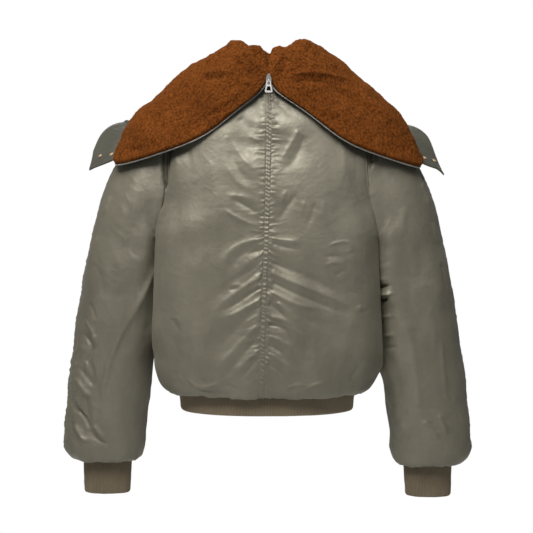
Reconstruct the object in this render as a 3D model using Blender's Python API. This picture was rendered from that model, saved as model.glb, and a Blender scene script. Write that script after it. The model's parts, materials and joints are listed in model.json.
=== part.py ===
"""Short nylon flight-type jacket with a split, pile-lined hood lying open over the shoulders.

Metres, +Z up, +Y towards the wearer's front, +X towards the wearer's right. The origin is the middle of the
neck opening at the height of the neck seam. Every cloth piece is a wall lofted between its outer and its inner
sections, worked out from the tables below.
"""
import bpy
import bmesh
import numpy as np
from math import radians, sin, cos, pi
from mathutils import Matrix, Vector

for ob in list(bpy.data.objects):
    bpy.data.objects.remove(ob, do_unlink=True)

# ------------------------------------------------------------------ named sizes
WALL = 0.0030          # padded nylon
RIB_WALL = 0.0030      # rib knit, doubled
GAP = 0.0003           # between neighbours at a seam
PILE = 0.0080          # pile lining
HOOD_WALL = 0.0020     # hood outer
BAND_WALL = 0.0025     # face band, doubled nylon
TAPE_WALL = 0.0008
TAPE_W = 0.0030
TEETH_W = 0.0027
TEETH_T = 0.0026

# torso sections from the hem seam (row 0) up to the neck seam (row 18)
TORSO_COLUMNS = ("z", "half_width", "back", "front", "power", "front_drop")
TORSO = np.array([
    (-0.5800, 0.1690, 0.1165, 0.1120, 2.35, 0.000),
    (-0.5870, 0.1775, 0.1235, 0.1180, 2.35, 0.000),
    (-0.5885, 0.1870, 0.1305, 0.1235, 2.35, 0.000),
    (-0.5800, 0.1985, 0.1370, 0.1290, 2.40, 0.000),
    (-0.5620, 0.2080, 0.1415, 0.1335, 2.40, 0.000),
    (-0.5300, 0.2140, 0.1440, 0.1360, 2.45, 0.000),
    (-0.4800, 0.2128, 0.1450, 0.1370, 2.50, 0.000),
    (-0.4200, 0.2095, 0.1445, 0.1365, 2.50, 0.000),
    (-0.3600, 0.2068, 0.1430, 0.1350, 2.50, 0.000),
    (-0.3000, 0.2050, 0.1405, 0.1330, 2.50, 0.000),
    (-0.2400, 0.2045, 0.1375, 0.1300, 2.50, 0.000),
    (-0.1800, 0.2040, 0.1310, 0.1250, 2.50, 0.002),
    (-0.1300, 0.2030, 0.1220, 0.1170, 2.45, 0.008),
    (-0.0900, 0.2010, 0.1120, 0.1060, 2.40, 0.020),
    (-0.0620, 0.1970, 0.1030, 0.0960, 2.35, 0.034),
    (-0.0420, 0.1600, 0.0950, 0.0870, 2.25, 0.046),
    (-0.0240, 0.1240, 0.0870, 0.0790, 2.15, 0.055),
    (-0.0100, 0.0970, 0.0805, 0.0720, 2.10, 0.060),
    (0.0000, 0.0780, 0.0750, 0.0660, 2.05, 0.064),
])
ROW_PIT, ROW_SHOULDER, ROW_NECK = 9.0, 14.0, 18.0
ARM_TOP, ARM_PIT = -0.0620, -0.3000     # heights of the shoulder point and the armpit
ARM_BACK, ARM_FRONT = 0.0760, 0.0780    # how far the armhole reaches back and forward
ZIP_HALF = 0.0040                       # half the opening that the front zip fills

# sleeve sections from the armhole (row 0) to the cuff seam
SLEEVE_COLUMNS = ("inner_x", "inner_z", "outer_x", "outer_z", "half_depth", "centre_y", "power")
SLEEVE = np.array([
    (0.2050, -0.3000, 0.1970, -0.0620, 0.0770, -0.0020, 2.00),
    (0.2070, -0.3040, 0.2270, -0.0850, 0.0830, -0.0010, 2.00),
    (0.2080, -0.3080, 0.2500, -0.1120, 0.0860, 0.0000, 2.02),
    (0.2090, -0.3130, 0.2720, -0.1430, 0.0870, 0.0020, 2.05),
    (0.2097, -0.3200, 0.2945, -0.1800, 0.0865, 0.0040, 2.10),
    (0.2103, -0.3300, 0.3140, -0.2260, 0.0855, 0.0060, 2.12),
    (0.2110, -0.3450, 0.3300, -0.2850, 0.0840, 0.0090, 2.15),
    (0.2118, -0.3750, 0.3440, -0.3500, 0.0820, 0.0120, 2.20),
    (0.2135, -0.4250, 0.3565, -0.4200, 0.0790, 0.0160, 2.20),
    (0.2165, -0.4850, 0.3670, -0.4850, 0.0750, 0.0200, 2.20),
    (0.2210, -0.5500, 0.3765, -0.5500, 0.0710, 0.0240, 2.20),
    (0.2285, -0.6150, 0.3840, -0.6150, 0.0670, 0.0280, 2.20),
    (0.2350, -0.6650, 0.3885, -0.6650, 0.0640, 0.0310, 2.20),
    (0.2400, -0.7020, 0.3900, -0.7020, 0.0610, 0.0330, 2.20),
    (0.2450, -0.7230, 0.3860, -0.7230, 0.0580, 0.0340, 2.20),
    (0.2510, -0.7360, 0.3770, -0.7360, 0.0530, 0.0350, 2.20),
    (0.2570, -0.7405, 0.3650, -0.7405, 0.0460, 0.0350, 2.20),
    (0.2620, -0.7360, 0.3570, -0.7360, 0.0385, 0.0350, 2.20),
])
CUFF = np.array([
    (0.2624, -0.7330, 0.3566, -0.7330, 0.0381, 0.0350, 2.20),
    (0.2632, -0.7450, 0.3568, -0.7450, 0.0345, 0.0350, 2.20),
    (0.2650, -0.7700, 0.3563, -0.7700, 0.0308, 0.0355, 2.20),
    (0.2664, -0.7950, 0.3552, -0.7950, 0.0295, 0.0360, 2.20),
])
# the two sleeves don't hang quite alike: how far the cuff end sits outwards and down
HANG = {"left": (-0.0016, 0.0033), "right": (0.0016, -0.0033)}
# each sleeve is cut in a back and a front half. Their upper seam leaves the armhole this many degrees
# behind the shoulder point and reaches the outside of the arm at level SEAM_OUT
SEAM_TOP = {"left": 45.0, "right": 15.0}
SEAM_OUT = 4.8

RIB_COLUMNS = ("z", "half_width", "back", "front")
RIB = np.array([
    (-0.5765, 0.1685, 0.1160, 0.1113),
    (-0.5900, 0.1680, 0.1160, 0.1115),
    (-0.6060, 0.1660, 0.1150, 0.1105),
    (-0.6230, 0.1645, 0.1135, 0.1090),
])

# hood half, face of the pile: a row for each place round the neck, from the back centre to the throat.
# neck_deg, then the crest, two points of the fall and the edge, each (x, y, z)
HOOD = [
    (0.0, (0.0000, -0.0800, 0.0420), (0.0000, -0.0955, 0.0350), (0.0000, -0.1050, 0.0180), (0.0000, -0.1090, 0.0015)),
    (12.0, (0.0200, -0.0790, 0.0475), (0.0215, -0.0960, 0.0385), (0.0230, -0.1080, 0.0080), (0.0195, -0.1125, -0.0310)),
    (32.0, (0.0560, -0.0700, 0.0610), (0.0660, -0.0930, 0.0450), (0.0690, -0.1130, 0.0020), (0.0600, -0.1200, -0.0610)),
    (60.0, (0.0860, -0.0450, 0.0545), (0.1110, -0.0720, 0.0310), (0.1270, -0.1030, -0.0360), (0.1260, -0.1205, -0.1080)),
    (85.0, (0.1090, -0.0150, 0.0430), (0.1610, -0.0450, 0.0060), (0.1980, -0.0890, -0.0630), (0.2010, -0.1110, -0.1400)),
    (105.0, (0.1240, 0.0150, 0.0340), (0.1870, -0.0120, -0.0110), (0.2480, -0.0520, -0.0740), (0.2740, -0.0810, -0.1600)),
    (122.0, (0.1210, 0.0430, 0.0200), (0.1840, 0.0320, -0.0190), (0.2500, 0.0080, -0.0700), (0.2890, -0.0290, -0.1450)),
    (140.0, (0.0980, 0.0720, 0.0010), (0.1530, 0.0790, -0.0310), (0.2080, 0.0780, -0.0600), (0.2540, 0.0600, -0.0940)),
    (158.0, (0.0570, 0.0920, -0.0220), (0.0940, 0.1070, -0.0500), (0.1270, 0.1150, -0.0800), (0.1580, 0.1170, -0.1110)),
    (173.0, (0.0200, 0.0950, -0.0380), (0.0340, 0.1100, -0.0620), (0.0470, 0.1190, -0.0900), (0.0570, 0.1240, -0.1180)),
]
HOOD_T = np.array([0.0, 0.9, 1.9, 3.0, 4.2, 5.2])   # where neck, stand, crest, falls and edge lie on t
T_EDGE = 5.2
CORNER = 5.9                                        # row at which the zip edge turns into the face edge

# outer edge of the face band: hood row, then (x, y, z)
BAND = [
    (5.9, (0.3390, 0.0000, -0.1720)),
    (6.5, (0.3240, 0.0420, -0.1300)),
    (7.0, (0.3040, 0.0820, -0.0920)),
    (7.5, (0.2540, 0.1230, -0.0790)),
    (8.0, (0.1950, 0.1460, -0.1200)),
    (8.5, (0.1350, 0.1530, -0.1520)),
    (9.0, (0.0760, 0.1440, -0.1660)),
]
STUDS = [(6.14, 0.30), (6.17, 0.72)]                # hood row and share of the band's width
STUD_R, STUD_H = 0.0042, 0.0016
# the open hood doesn't lie quite evenly: its crest leans to +X, its left half lies a little higher on the shoulder
# and lower beside the neck, the left flank falls off steeper, the left band stands out and the right tip hangs
LEAN, LIFT, DIP, FLANK, ASIDE = 0.0055, 0.0015, 0.0055, 0.0045, 0.0033
BAND_OUT, TIP = (-0.0080, 0.0050), (-0.0030, -0.0090)

SLIDER_W, SLIDER_L, SLIDER_T = 0.0100, 0.0195, 0.0024
ARCH_W, ARCH_BAR = 0.0020, 0.0013
PULL_T = 0.0012

# ------------------------------------------------------------------ curves through tables


def pchip(xs, ys, x):
    """smooth curve through a table column that never overshoots it"""
    xs, ys = np.asarray(xs, float), np.asarray(ys, float)
    x = np.clip(np.asarray(x, float), xs[0], xs[-1])
    h = np.diff(xs)
    d = np.diff(ys) / h
    m = np.zeros(len(xs))
    for i in range(1, len(xs) - 1):
        if d[i - 1] * d[i] > 0:
            w1, w2 = 2 * h[i] + h[i - 1], h[i] + 2 * h[i - 1]
            m[i] = (w1 + w2) / (w1 / d[i - 1] + w2 / d[i])
    m[0], m[-1] = d[0], d[-1]
    k = np.clip(np.searchsorted(xs, x, side="right") - 1, 0, len(xs) - 2)
    t = (x - xs[k]) / h[k]
    return ((2 * t**3 - 3 * t**2 + 1) * ys[k] + (t**3 - 2 * t**2 + t) * h[k] * m[k]
            + (-2 * t**3 + 3 * t**2) * ys[k + 1] + (t**3 - t**2) * h[k] * m[k + 1])


def spline(xs, ys, x):
    """natural cubic spline through rows of points"""
    xs, ys = np.asarray(xs, float), np.asarray(ys, float)
    n = len(xs)
    h = np.diff(xs)
    flat = ys.reshape(n, -1)
    A, r = np.zeros((n, n)), np.zeros_like(flat)
    A[0, 0] = A[-1, -1] = 1
    for i in range(1, n - 1):
        A[i, i - 1:i + 2] = h[i - 1], 2 * (h[i - 1] + h[i]), h[i]
        r[i] = 6 * ((flat[i + 1] - flat[i]) / h[i] - (flat[i] - flat[i - 1]) / h[i - 1])
    m = np.linalg.solve(A, r)
    x = np.asarray(x, float)
    k = np.clip(np.searchsorted(xs, x, side="right") - 1, 0, n - 2)
    a, b, hk = (xs[k + 1] - x)[..., None], (x - xs[k])[..., None], h[k][..., None]
    out = (m[k] * a**3 / (6 * hk) + m[k + 1] * b**3 / (6 * hk)
           + (flat[k] / hk - m[k] * hk / 6) * a + (flat[k + 1] / hk - m[k + 1] * hk / 6) * b)
    return out.reshape(x.shape + ys.shape[1:])


def sgnpow(v, p):
    return np.sign(v) * np.abs(v) ** p


# ------------------------------------------------------------------ the garment's surfaces
ROWS = np.arange(len(TORSO), dtype=float)


def torso(v, th):
    """outer face at level v and angle th: 0 back centre, 90 side, 180 front centre"""
    v, th = np.broadcast_arrays(np.asarray(v, float), np.asarray(th, float))
    z, a, yb, yf, n, drop = (pchip(ROWS, TORSO[:, i], v) for i in range(6))
    # at the front centre the hem runs straight into the rib, so that the zip lies flat
    flat = np.exp(-((180 - np.abs(th)) / 10.0) ** 2) * np.clip(1 - v / 4, 0, 1)
    z4, f0, f4 = TORSO[4, 0], TORSO[0, 3] + 0.0035, TORSO[4, 3]
    z = z + flat * ((TORSO[0, 0] + (z4 - TORSO[0, 0]) * v / 4) - z) * (v < 4)
    yf = yf + flat * ((f0 + (f4 - f0) * v / 4) - yf) * (v < 4)
    s, c = np.sin(np.radians(th)), np.cos(np.radians(th))
    x = a * sgnpow(s, 2 / n)
    y = -np.where(c > 0, yb, yf) * sgnpow(c, 2 / n)
    return np.stack([x, y, z - drop * np.clip(-c, 0, 1) ** 1.4], -1)


def level_of(z):
    v = np.linspace(4, ROW_NECK, 3000)
    return np.interp(z, pchip(ROWS, TORSO[:, 0], v), v)


def armhole(phi):
    """level and angle of the armhole: phi 0 at the shoulder point, 90 back, 180 armpit, 270 front"""
    phi = np.asarray(phi, float)
    z = (ARM_TOP + ARM_PIT) / 2 + (ARM_TOP - ARM_PIT) / 2 * np.cos(np.radians(phi))
    v, s = level_of(z), np.sin(np.radians(phi))
    b = np.where(s >= 0, pchip(ROWS, TORSO[:, 2], v), pchip(ROWS, TORSO[:, 3], v))
    y = np.where(s >= 0, ARM_BACK, ARM_FRONT) * np.abs(s) ** 0.92
    th = np.degrees(np.arccos(np.clip(y / b, 0, 1) ** (pchip(ROWS, TORSO[:, 4], v) / 2)))
    return v, np.where(s >= 0, th, 180 - th)


def ring(table, v, phi):
    """section v of a tube at angle phi: 0 outer, 90 back, 180 inner, 270 front"""
    v, phi = np.broadcast_arrays(np.asarray(v, float), np.asarray(phi, float))
    rows = np.arange(len(table), dtype=float)
    ix, iz, ox, oz, d, cy, n = (pchip(rows, table[:, i], v) for i in range(7))
    pc, ps = sgnpow(np.cos(np.radians(phi)), 2 / n), sgnpow(np.sin(np.radians(phi)), 2 / n)
    return np.stack([(ix + ox) / 2 + pc * (ox - ix) / 2, cy - d * ps, (iz + oz) / 2 + pc * (oz - iz) / 2], -1)


def sleeve(v, phi, side="right"):
    """outer face of the sleeve; its first rings blend into the armhole's own curve"""
    v, phi = np.broadcast_arrays(np.asarray(v, float), np.asarray(phi, float))
    av, ath = armhole(np.mod(phi, 360))
    k = np.clip(1 - v / 3.0, 0, 1)[..., None]
    p = ring(SLEEVE, v, phi) + (torso(av, ath) - ring(SLEEVE, np.zeros_like(v), phi)) * (k * k * (3 - 2 * k))
    return hang(p, side)


def hang(p, side):
    dx, dz = HANG[side]
    k = np.clip((-0.30 - p[..., 2]) / 0.40, 0, 1) ** 1.5
    return p + np.stack([dx * k, 0 * k, dz * k], -1)


def sleeve_columns(v, side):
    """25 angles round the sleeve at each level, from the upper seam over the back and the armpit to the seam again"""
    top = SEAM_TOP[side]
    k = np.clip(np.asarray(v, float) / SEAM_OUT, 0, 1)[..., None]
    turn = top * k * k * (3 - 2 * k)
    phi = top + np.arange(0, 361, 15.0)
    near = np.clip(1 - (phi - top) / (180 - top), 0, 1)
    far = np.clip(1 - (360 + top - phi) / (180 + top), 0, 1)
    return phi - turn * (near + far)


def cuff(v, phi, side="right"):
    return hang(ring(CUFF, v, phi), side)


def rib(v, th):
    v, th = np.broadcast_arrays(np.asarray(v, float), np.asarray(th, float))
    rows = np.arange(len(RIB), dtype=float)
    z, a, yb, yf = (pchip(rows, RIB[:, i], v) for i in range(4))
    # its top edge stands inside the shell, and under the shell's edge beside the zip
    z = z - 0.0060 * np.exp(-((180 - np.abs(th)) / 10.0) ** 2) * (v < 0.5)
    s, c = np.sin(np.radians(th)), np.cos(np.radians(th))
    return np.stack([a * sgnpow(s, 2 / 2.35), -np.where(c > 0, yb, yf) * sgnpow(c, 2 / 2.35), z], -1)


def unit(a):
    return a / np.maximum(np.linalg.norm(a, axis=-1, keepdims=True), 1e-12)


def hood_net():
    """rows of points from the neck seam to the edge, one row for each line of HOOD"""
    net = []
    for deg, *points in HOOD:
        seam = torso(ROW_NECK, deg) + np.array([0, 0, 0.0010])
        out = unit(seam * np.array([1, 1, 0]))
        crest = np.array(points[0])
        neck = seam - out * (PILE + HOOD_WALL + GAP)
        for _ in range(4):
            stand = neck * 0.74 + crest * 0.26
            stand[2] = neck[2] + 0.60 * (crest[2] - neck[2])
            up = unit(stand - neck)
            around = unit(np.cross([0, 0, 1], out))
            face = unit(np.cross(up, around))
            face = face if face @ out < 0 else -face
            neck = seam + face * (PILE + HOOD_WALL + GAP)
        net.append([neck, stand] + [np.array(p) for p in points])
    return np.array(net)


NET = hood_net()


def hood(s, t):
    """face of the pile: s 0 back centre to 9 throat, t 0 neck seam to T_EDGE"""
    s, t = np.broadcast_arrays(np.asarray(s, float), np.asarray(t, float))
    rows, inverse = np.unique(s.ravel(), return_inverse=True)
    across = spline(np.arange(len(NET), dtype=float), NET, rows)
    out = np.empty((s.size, 3))
    for i in range(len(rows)):
        pick = inverse.ravel() == i
        out[pick] = spline(HOOD_T, across[i], t.ravel()[pick])
    return out.reshape(s.shape + (3,))


def lie(p):
    """move points of the finished hood to how it lies"""
    x, y, z = p[..., 0], p[..., 1], p[..., 2]
    lean = LEAN * np.exp(-(x / 0.12) ** 2) * np.clip((z - 0.002) / 0.038, 0, 1)
    free = np.clip((np.hypot(x, y) - 0.085) / 0.025, 0, 1)      # nothing moves at the neck seam
    aside = ASIDE * np.exp(-(x / 0.06) ** 2) * free * np.clip((0.022 - z) / 0.020, 0, 1)      # the apex lies right of the middle
    k = np.clip((-x - 0.12) / 0.18, 0, 1)
    dip = DIP * np.clip(x / 0.02, -1, 1) * np.exp(-((np.abs(x) - 0.09) / 0.05) ** 2) * free
    flank = FLANK * np.exp(-((x + 0.225) / 0.06) ** 2 - ((z + 0.04) / 0.045) ** 2)
    corner = np.exp(-((x + 0.300) / 0.035) ** 2 - ((z + 0.155) / 0.030) ** 2)
    band = np.clip((np.abs(x) * 0.8 + y * 0.6 - 0.245) / 0.04, 0, 1)
    left = np.where(x < 0, band * band * (3 - 2 * band) * np.clip((z + 0.172) / 0.03, 0, 1), 0)
    right = np.where(x > 0, band * band * (3 - 2 * band) * np.clip((-0.105 - z) / 0.06, 0, 1), 0)
    return p + np.stack([lean + aside + flank + 0.0050 * corner + left * BAND_OUT[0] + right * TIP[0], 0 * x,
                         LIFT * k * k * (3 - 2 * k) + dip - flank + 0.0055 * corner + left * BAND_OUT[1] + right * TIP[1]], -1)


def normal(f, v, u, turn=1, du=0.4, dv=0.02):
    """unit normal of f(v, u), from the whole surface, so that neighbours share it at their seam"""
    a = f(v, np.asarray(u) + du) - f(v, np.asarray(u) - du)
    b = f(np.asarray(v) + dv, u) - f(np.asarray(v) - dv, u)
    return turn * unit(np.cross(a, b))


def hood_normal(s, t):
    s, t = np.broadcast_arrays(np.asarray(s, float), np.asarray(t, float))
    a = hood(s + 0.02, t) - hood(s - 0.02, t)
    b = hood(s, t + 0.02) - hood(s, t - 0.02)
    n = np.cross(b, a)
    n[s <= 1e-6, 0] = 0
    return unit(n)


# ------------------------------------------------------------------ making solids
MATERIALS = {
    "nylon": ((0.205, 0.196, 0.148), 0.42, 0.0),
    "rib": ((0.098, 0.082, 0.055), 0.90, 0.0),
    "pile": ((0.150, 0.042, 0.010), 0.95, 0.0),
    "band": ((0.100, 0.105, 0.078), 0.60, 0.0),
    "tape": ((0.150, 0.150, 0.120), 0.80, 0.0),
    "metal": ((0.60, 0.60, 0.58), 0.30, 1.0),
    "brass": ((0.45, 0.36, 0.20), 0.35, 1.0),
}
COLLECTION = bpy.data.collections.new("flight_jacket")
bpy.context.scene.collection.children.link(COLLECTION)


def material(kind, name):
    colour, rough, metal = MATERIALS[kind]
    mat = bpy.data.materials.new(kind + "_" + name)
    mat.use_nodes = True
    bsdf = mat.node_tree.nodes["Principled BSDF"]
    bsdf.inputs["Base Color"].default_value = (*colour, 1)
    bsdf.inputs["Roughness"].default_value = rough
    bsdf.inputs["Metallic"].default_value = metal
    mat.diffuse_color = (*colour, 1)
    return mat


def add(name, mesh, kind):
    ob = bpy.data.objects.new(name, mesh)
    COLLECTION.objects.link(ob)
    mesh.materials.clear()
    mesh.materials.append(material(kind, name))
    return ob


def inset(outer, inner, N, closed, amount, ends=(1, 1, 1, 1)):
    """move the border points into the piece, square to each seam; ends: first row, last row, first, last column"""
    nv, nu = outer.shape[:2]
    shift = np.zeros_like(outer)

    def inward(i, j, ti, tj, wi, wj):
        """unit direction in the cloth, square to the border, towards point (wi, wj)"""
        e = unit(ti - tj)
        d = unit(np.cross(N[i, j], e))
        return d if d @ (outer[wi, wj] - outer[i, j]) > 0 else -d

    for i in range(nv):
        for j in range(nu):
            found = []
            if i in (0, nv - 1) and ends[0 if i == 0 else 1]:
                a = outer[i, (j + 1) % nu if closed else min(j + 1, nu - 1)]
                b = outer[i, (j - 1) % nu if closed else max(j - 1, 0)]
                found.append(inward(i, j, a, b, 1 if i == 0 else nv - 2, j))
            if not closed and j in (0, nu - 1) and ends[2 if j == 0 else 3]:
                a, b = outer[min(i + 1, nv - 1), j], outer[max(i - 1, 0), j]
                found.append(inward(i, j, a, b, i, 1 if j == 0 else nu - 2))
            if len(found) == 1:
                shift[i, j] = found[0] * amount
            elif found:
                shift[i, j] = (found[0] + found[1]) * amount / max(1 + found[0] @ found[1], 0.35)
    return outer + shift, inner + shift


def skin(name, kind, outer, inner, closed=False, mirror=False, warp=None):
    """closed wall lofted between an outer and an inner grid of points [row, column]"""
    nv, nu = outer.shape[:2]
    flip = np.array([-1.0 if mirror else 1.0, 1, 1])
    grids = [warp(g * flip) if warp else g * flip for g in (outer, inner)]
    bm = bmesh.new()
    sheets = [[[bm.verts.new(Vector(p)) for p in row] for row in grid] for grid in grids]
    columns = nu if closed else nu - 1

    def face(*verts):
        bm.faces.new(verts)

    def quad(a, b, c, d):
        face(a, b, c)
        face(a, c, d)

    for k, sheet in enumerate(sheets):
        for i in range(nv - 1):
            for j in range(columns):
                a, b = sheet[i][j], sheet[i][(j + 1) % nu]
                d, c = sheet[i + 1][j], sheet[i + 1][(j + 1) % nu]
                if k == 0:
                    quad(a, b, c, d)
                else:
                    face(a, c, b)
                    face(a, d, c)
    for i in (0, nv - 1):
        for j in range(columns):
            a, b = sheets[0][i][j], sheets[0][i][(j + 1) % nu]
            c, d = sheets[1][i][(j + 1) % nu], sheets[1][i][j]
            quad(b, a, d, c) if i == 0 else quad(a, b, c, d)
    if not closed:
        for j in (0, nu - 1):
            for i in range(nv - 1):
                a, b = sheets[0][i][j], sheets[0][i + 1][j]
                c, d = sheets[1][i + 1][j], sheets[1][i][j]
                quad(a, b, c, d) if j == 0 else quad(b, a, d, c)
    bmesh.ops.recalc_face_normals(bm, faces=bm.faces)
    if bm.calc_volume(signed=True) < 0:
        bmesh.ops.reverse_faces(bm, faces=bm.faces)
    mesh = bpy.data.meshes.new(name)
    bm.to_mesh(mesh)
    bm.free()
    return add(name, mesh, kind)


# ------------------------------------------------------------------ back and front panels
PHIS = np.arange(0, 181, 15.0)
LOW_LEVELS = np.array([0, 0.9, 1.8, 2.7, 3.9, 5.5, 7.3])
TOP_LEVELS = np.array([15.0, 16.0, 17.0, 18.0])
ARM_NORMALS = {}


def arm_normal(phi, side):
    """shared normal along the armhole seam, half way between the torso's and the sleeve's"""
    v, th = armhole(phi)
    a = normal(torso, v, th)
    b = normal(lambda q, u: sleeve(q, u, side), 0.3, phi, dv=0.25)
    return unit(a + b)


def panel(name, front, side):
    """one back or front panel: columns run from the centre line to the side, armhole or shoulder seam"""
    phi = PHIS if not front else 360 - PHIS
    av, ath = armhole(phi)
    levels = np.concatenate([LOW_LEVELS, av[::-1], TOP_LEVELS])
    edge = np.concatenate([np.full(len(LOW_LEVELS), 90.0), ath[::-1], np.full(len(TOP_LEVELS), 90.0)])
    share = np.linspace(0, 1, 8) ** 1.0
    if front:
        start = np.array([180 - np.degrees(np.arcsin(min((ZIP_HALF / np.interp(v, ROWS, TORSO[:, 1])) ** (np.interp(v, ROWS, TORSO[:, 4]) / 2), 1))) for v in levels])
    else:
        start = np.zeros(len(levels))
    V = np.repeat(levels[:, None], len(share), 1)
    TH = start[:, None] + (edge - start)[:, None] * share[None]
    outer = torso(V, TH)
    N = normal(torso, V, TH)
    if front:
        outer[:, 0, 0] = ZIP_HALF
    else:
        N[:, 0, 0] = 0
        N = unit(N)
    inner = outer - N * WALL
    # along the armhole both pieces use one seam wall
    rows = slice(len(LOW_LEVELS), len(LOW_LEVELS) + len(PHIS))
    seam = arm_normal(phi[::-1], side)
    inner[rows, -1] = outer[rows, -1] - seam * WALL * 1.15
    outer, inner = inset(outer, inner, N, False, GAP / 2)
    skin(name, "nylon", outer, inner, mirror=side == "left")


def sleeve_piece(side):
    levels = np.array([0, 1, 2, 3, 4.5, 6, 7, 8.5, 10, 11.5, 13.0, 14.0, 14.8, 15.6, 16.3, 17.0])
    f = lambda q, u: sleeve(q, u, side)
    P = sleeve_columns(levels, side)
    V = np.repeat(levels[:, None], P.shape[1], 1)
    outer = f(V, P)
    N = normal(f, V, P)
    N[0] = arm_normal(P[0], side)
    inner = outer - N * WALL
    inner[0] = outer[0] - N[0] * WALL * 1.15
    N[0] = normal(f, 0.3, P[0], dv=0.25)
    pit = int(round((180 - SEAM_TOP[side]) / 15))      # the column along the underarm seam
    for half, cols in (("back", slice(0, pit + 1)), ("front", slice(pit, None))):
        a, b = inset(outer[:, cols], inner[:, cols], N[:, cols], False, GAP * 0.75)
        skin("sleeve_%s_%s" % (side, half), "nylon", a, b, mirror=side == "left")


def cuff_piece(side):
    phi = sleeve_columns(17.0, side)[:-1]
    V, P = np.meshgrid(np.arange(len(CUFF), dtype=float), phi, indexing="ij")
    f = lambda q, u: cuff(q, u, side)
    outer = f(V, P)
    skin("cuff_" + side, "rib", outer, outer - normal(f, V, P) * RIB_WALL, closed=True, mirror=side == "left")


def rib_piece():
    first = np.degrees(np.arcsin((ZIP_HALF / RIB[:, 1]) ** (2.35 / 2)))
    # the same angles as the panels have, so that the facets of the two lie along each other
    share = np.linspace(0, 1, 8)
    end = (180 - first)[:, None]
    half = np.concatenate([np.repeat(90 * share[None], len(RIB), 0), 90 + (end - 90) * share[None, 1:]], 1)
    TH = np.concatenate([-half[:, :0:-1], half], 1)
    V = np.repeat(np.arange(len(RIB), dtype=float)[:, None], TH.shape[1], 1)
    outer = rib(V, TH)
    inner = outer - normal(rib, V, TH, turn=-1) * RIB_WALL
    skin("hem_rib", "rib", outer, inner)


# ------------------------------------------------------------------ hood
S_ZIP = np.array([0, 0.5, 1, 1.6, 2.2, 2.8, 3.4, 4.0, 4.6, 5.2, 5.9])
S_FACE = np.array([5.9, 6.2, 6.6, 7.0, 7.4, 7.8, 8.2, 8.6, 9.0])
S_LIST = np.concatenate([S_ZIP, S_FACE[1:]])
T_LIST = np.array([0, 0.9, 1.6, 2.2, 3.0, 4.1, 5.2])


def hood_layers(side):
    S, T = np.meshgrid(S_LIST, T_LIST, indexing="ij")
    face, N = hood(S, T), hood_normal(S, T)
    mid = -(PILE + GAP / 2)
    for name, kind, d0, d1 in (("hood_pile_", "pile", 0.0, mid + GAP / 2), ("hood_shell_", "nylon", mid - GAP / 2, mid - GAP / 2 - HOOD_WALL)):
        outer, inner = inset(face + N * d0, face + N * d1, N, False, GAP / 2)
        skin(name + side, kind, outer, inner, mirror=side == "left", warp=lie)


def band_face(s, w):
    """outer face of the face band: w 0 at the pile's edge, 1 at its own outer edge"""
    s, w = np.broadcast_arrays(np.asarray(s, float), np.asarray(w, float))
    depth = PILE + HOOD_WALL + GAP - BAND_WALL
    root = hood(s, np.full_like(s, T_EDGE)) - hood_normal(s, np.full_like(s, T_EDGE)) * depth
    lead = unit(hood(s, np.full_like(s, T_EDGE)) - hood(s, np.full_like(s, T_EDGE - 0.05)))
    root = root + lead * 0.0012
    tip = spline([r for r, p in BAND], np.array([p for r, p in BAND]), s)
    k = w[..., None]
    length = np.linalg.norm(tip - root, axis=-1, keepdims=True)
    return root * (1 - k) + tip * k + lead * length * 0.28 * k * (1 - k) * (1 - k)


def grid_normal(P, towards):
    du, dv = np.gradient(P, axis=1), np.gradient(P, axis=0)
    n = unit(np.cross(dv, du))
    return n if np.sum(n * towards) > 0 else -n


def band_piece(side):
    s = S_FACE
    w = np.array([0.0, 0.22, 0.48, 0.74, 1.0])
    S, W = np.meshgrid(s, w, indexing="ij")
    outer = band_face(S, W)
    N = grid_normal(outer, hood_normal(S, np.full_like(S, T_EDGE)))
    skin("hood_band_" + side, "band", outer, outer - N * BAND_WALL, mirror=side == "left", warp=lie)
    for i, (sr, wr) in enumerate(STUDS, 1):
        e = 0.02
        p = band_face(sr, wr)
        n = unit(np.cross(band_face(sr + e, wr) - band_face(sr - e, wr), band_face(sr, wr + e) - band_face(sr, wr - e)))
        n = n if n @ hood_normal(sr, T_EDGE) > 0 else -n
        bm = bmesh.new()
        bmesh.ops.create_cone(bm, cap_ends=True, segments=16, radius1=STUD_R, radius2=STUD_R * 0.72, depth=STUD_H)
        mesh = bpy.data.meshes.new("hood_stud_%s_%d" % (side, i))
        bm.to_mesh(mesh)
        bm.free()
        ob = add(mesh.name, mesh, "brass")
        flip = np.array([-1.0 if side == "left" else 1.0, 1, 1])
        ob.location = Vector(lie((p + n * (STUD_H / 2 + GAP + 0.0005)) * flip))
        ob.rotation_euler = Vector(n * flip).to_track_quat("Z", "Y").to_euler()


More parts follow.
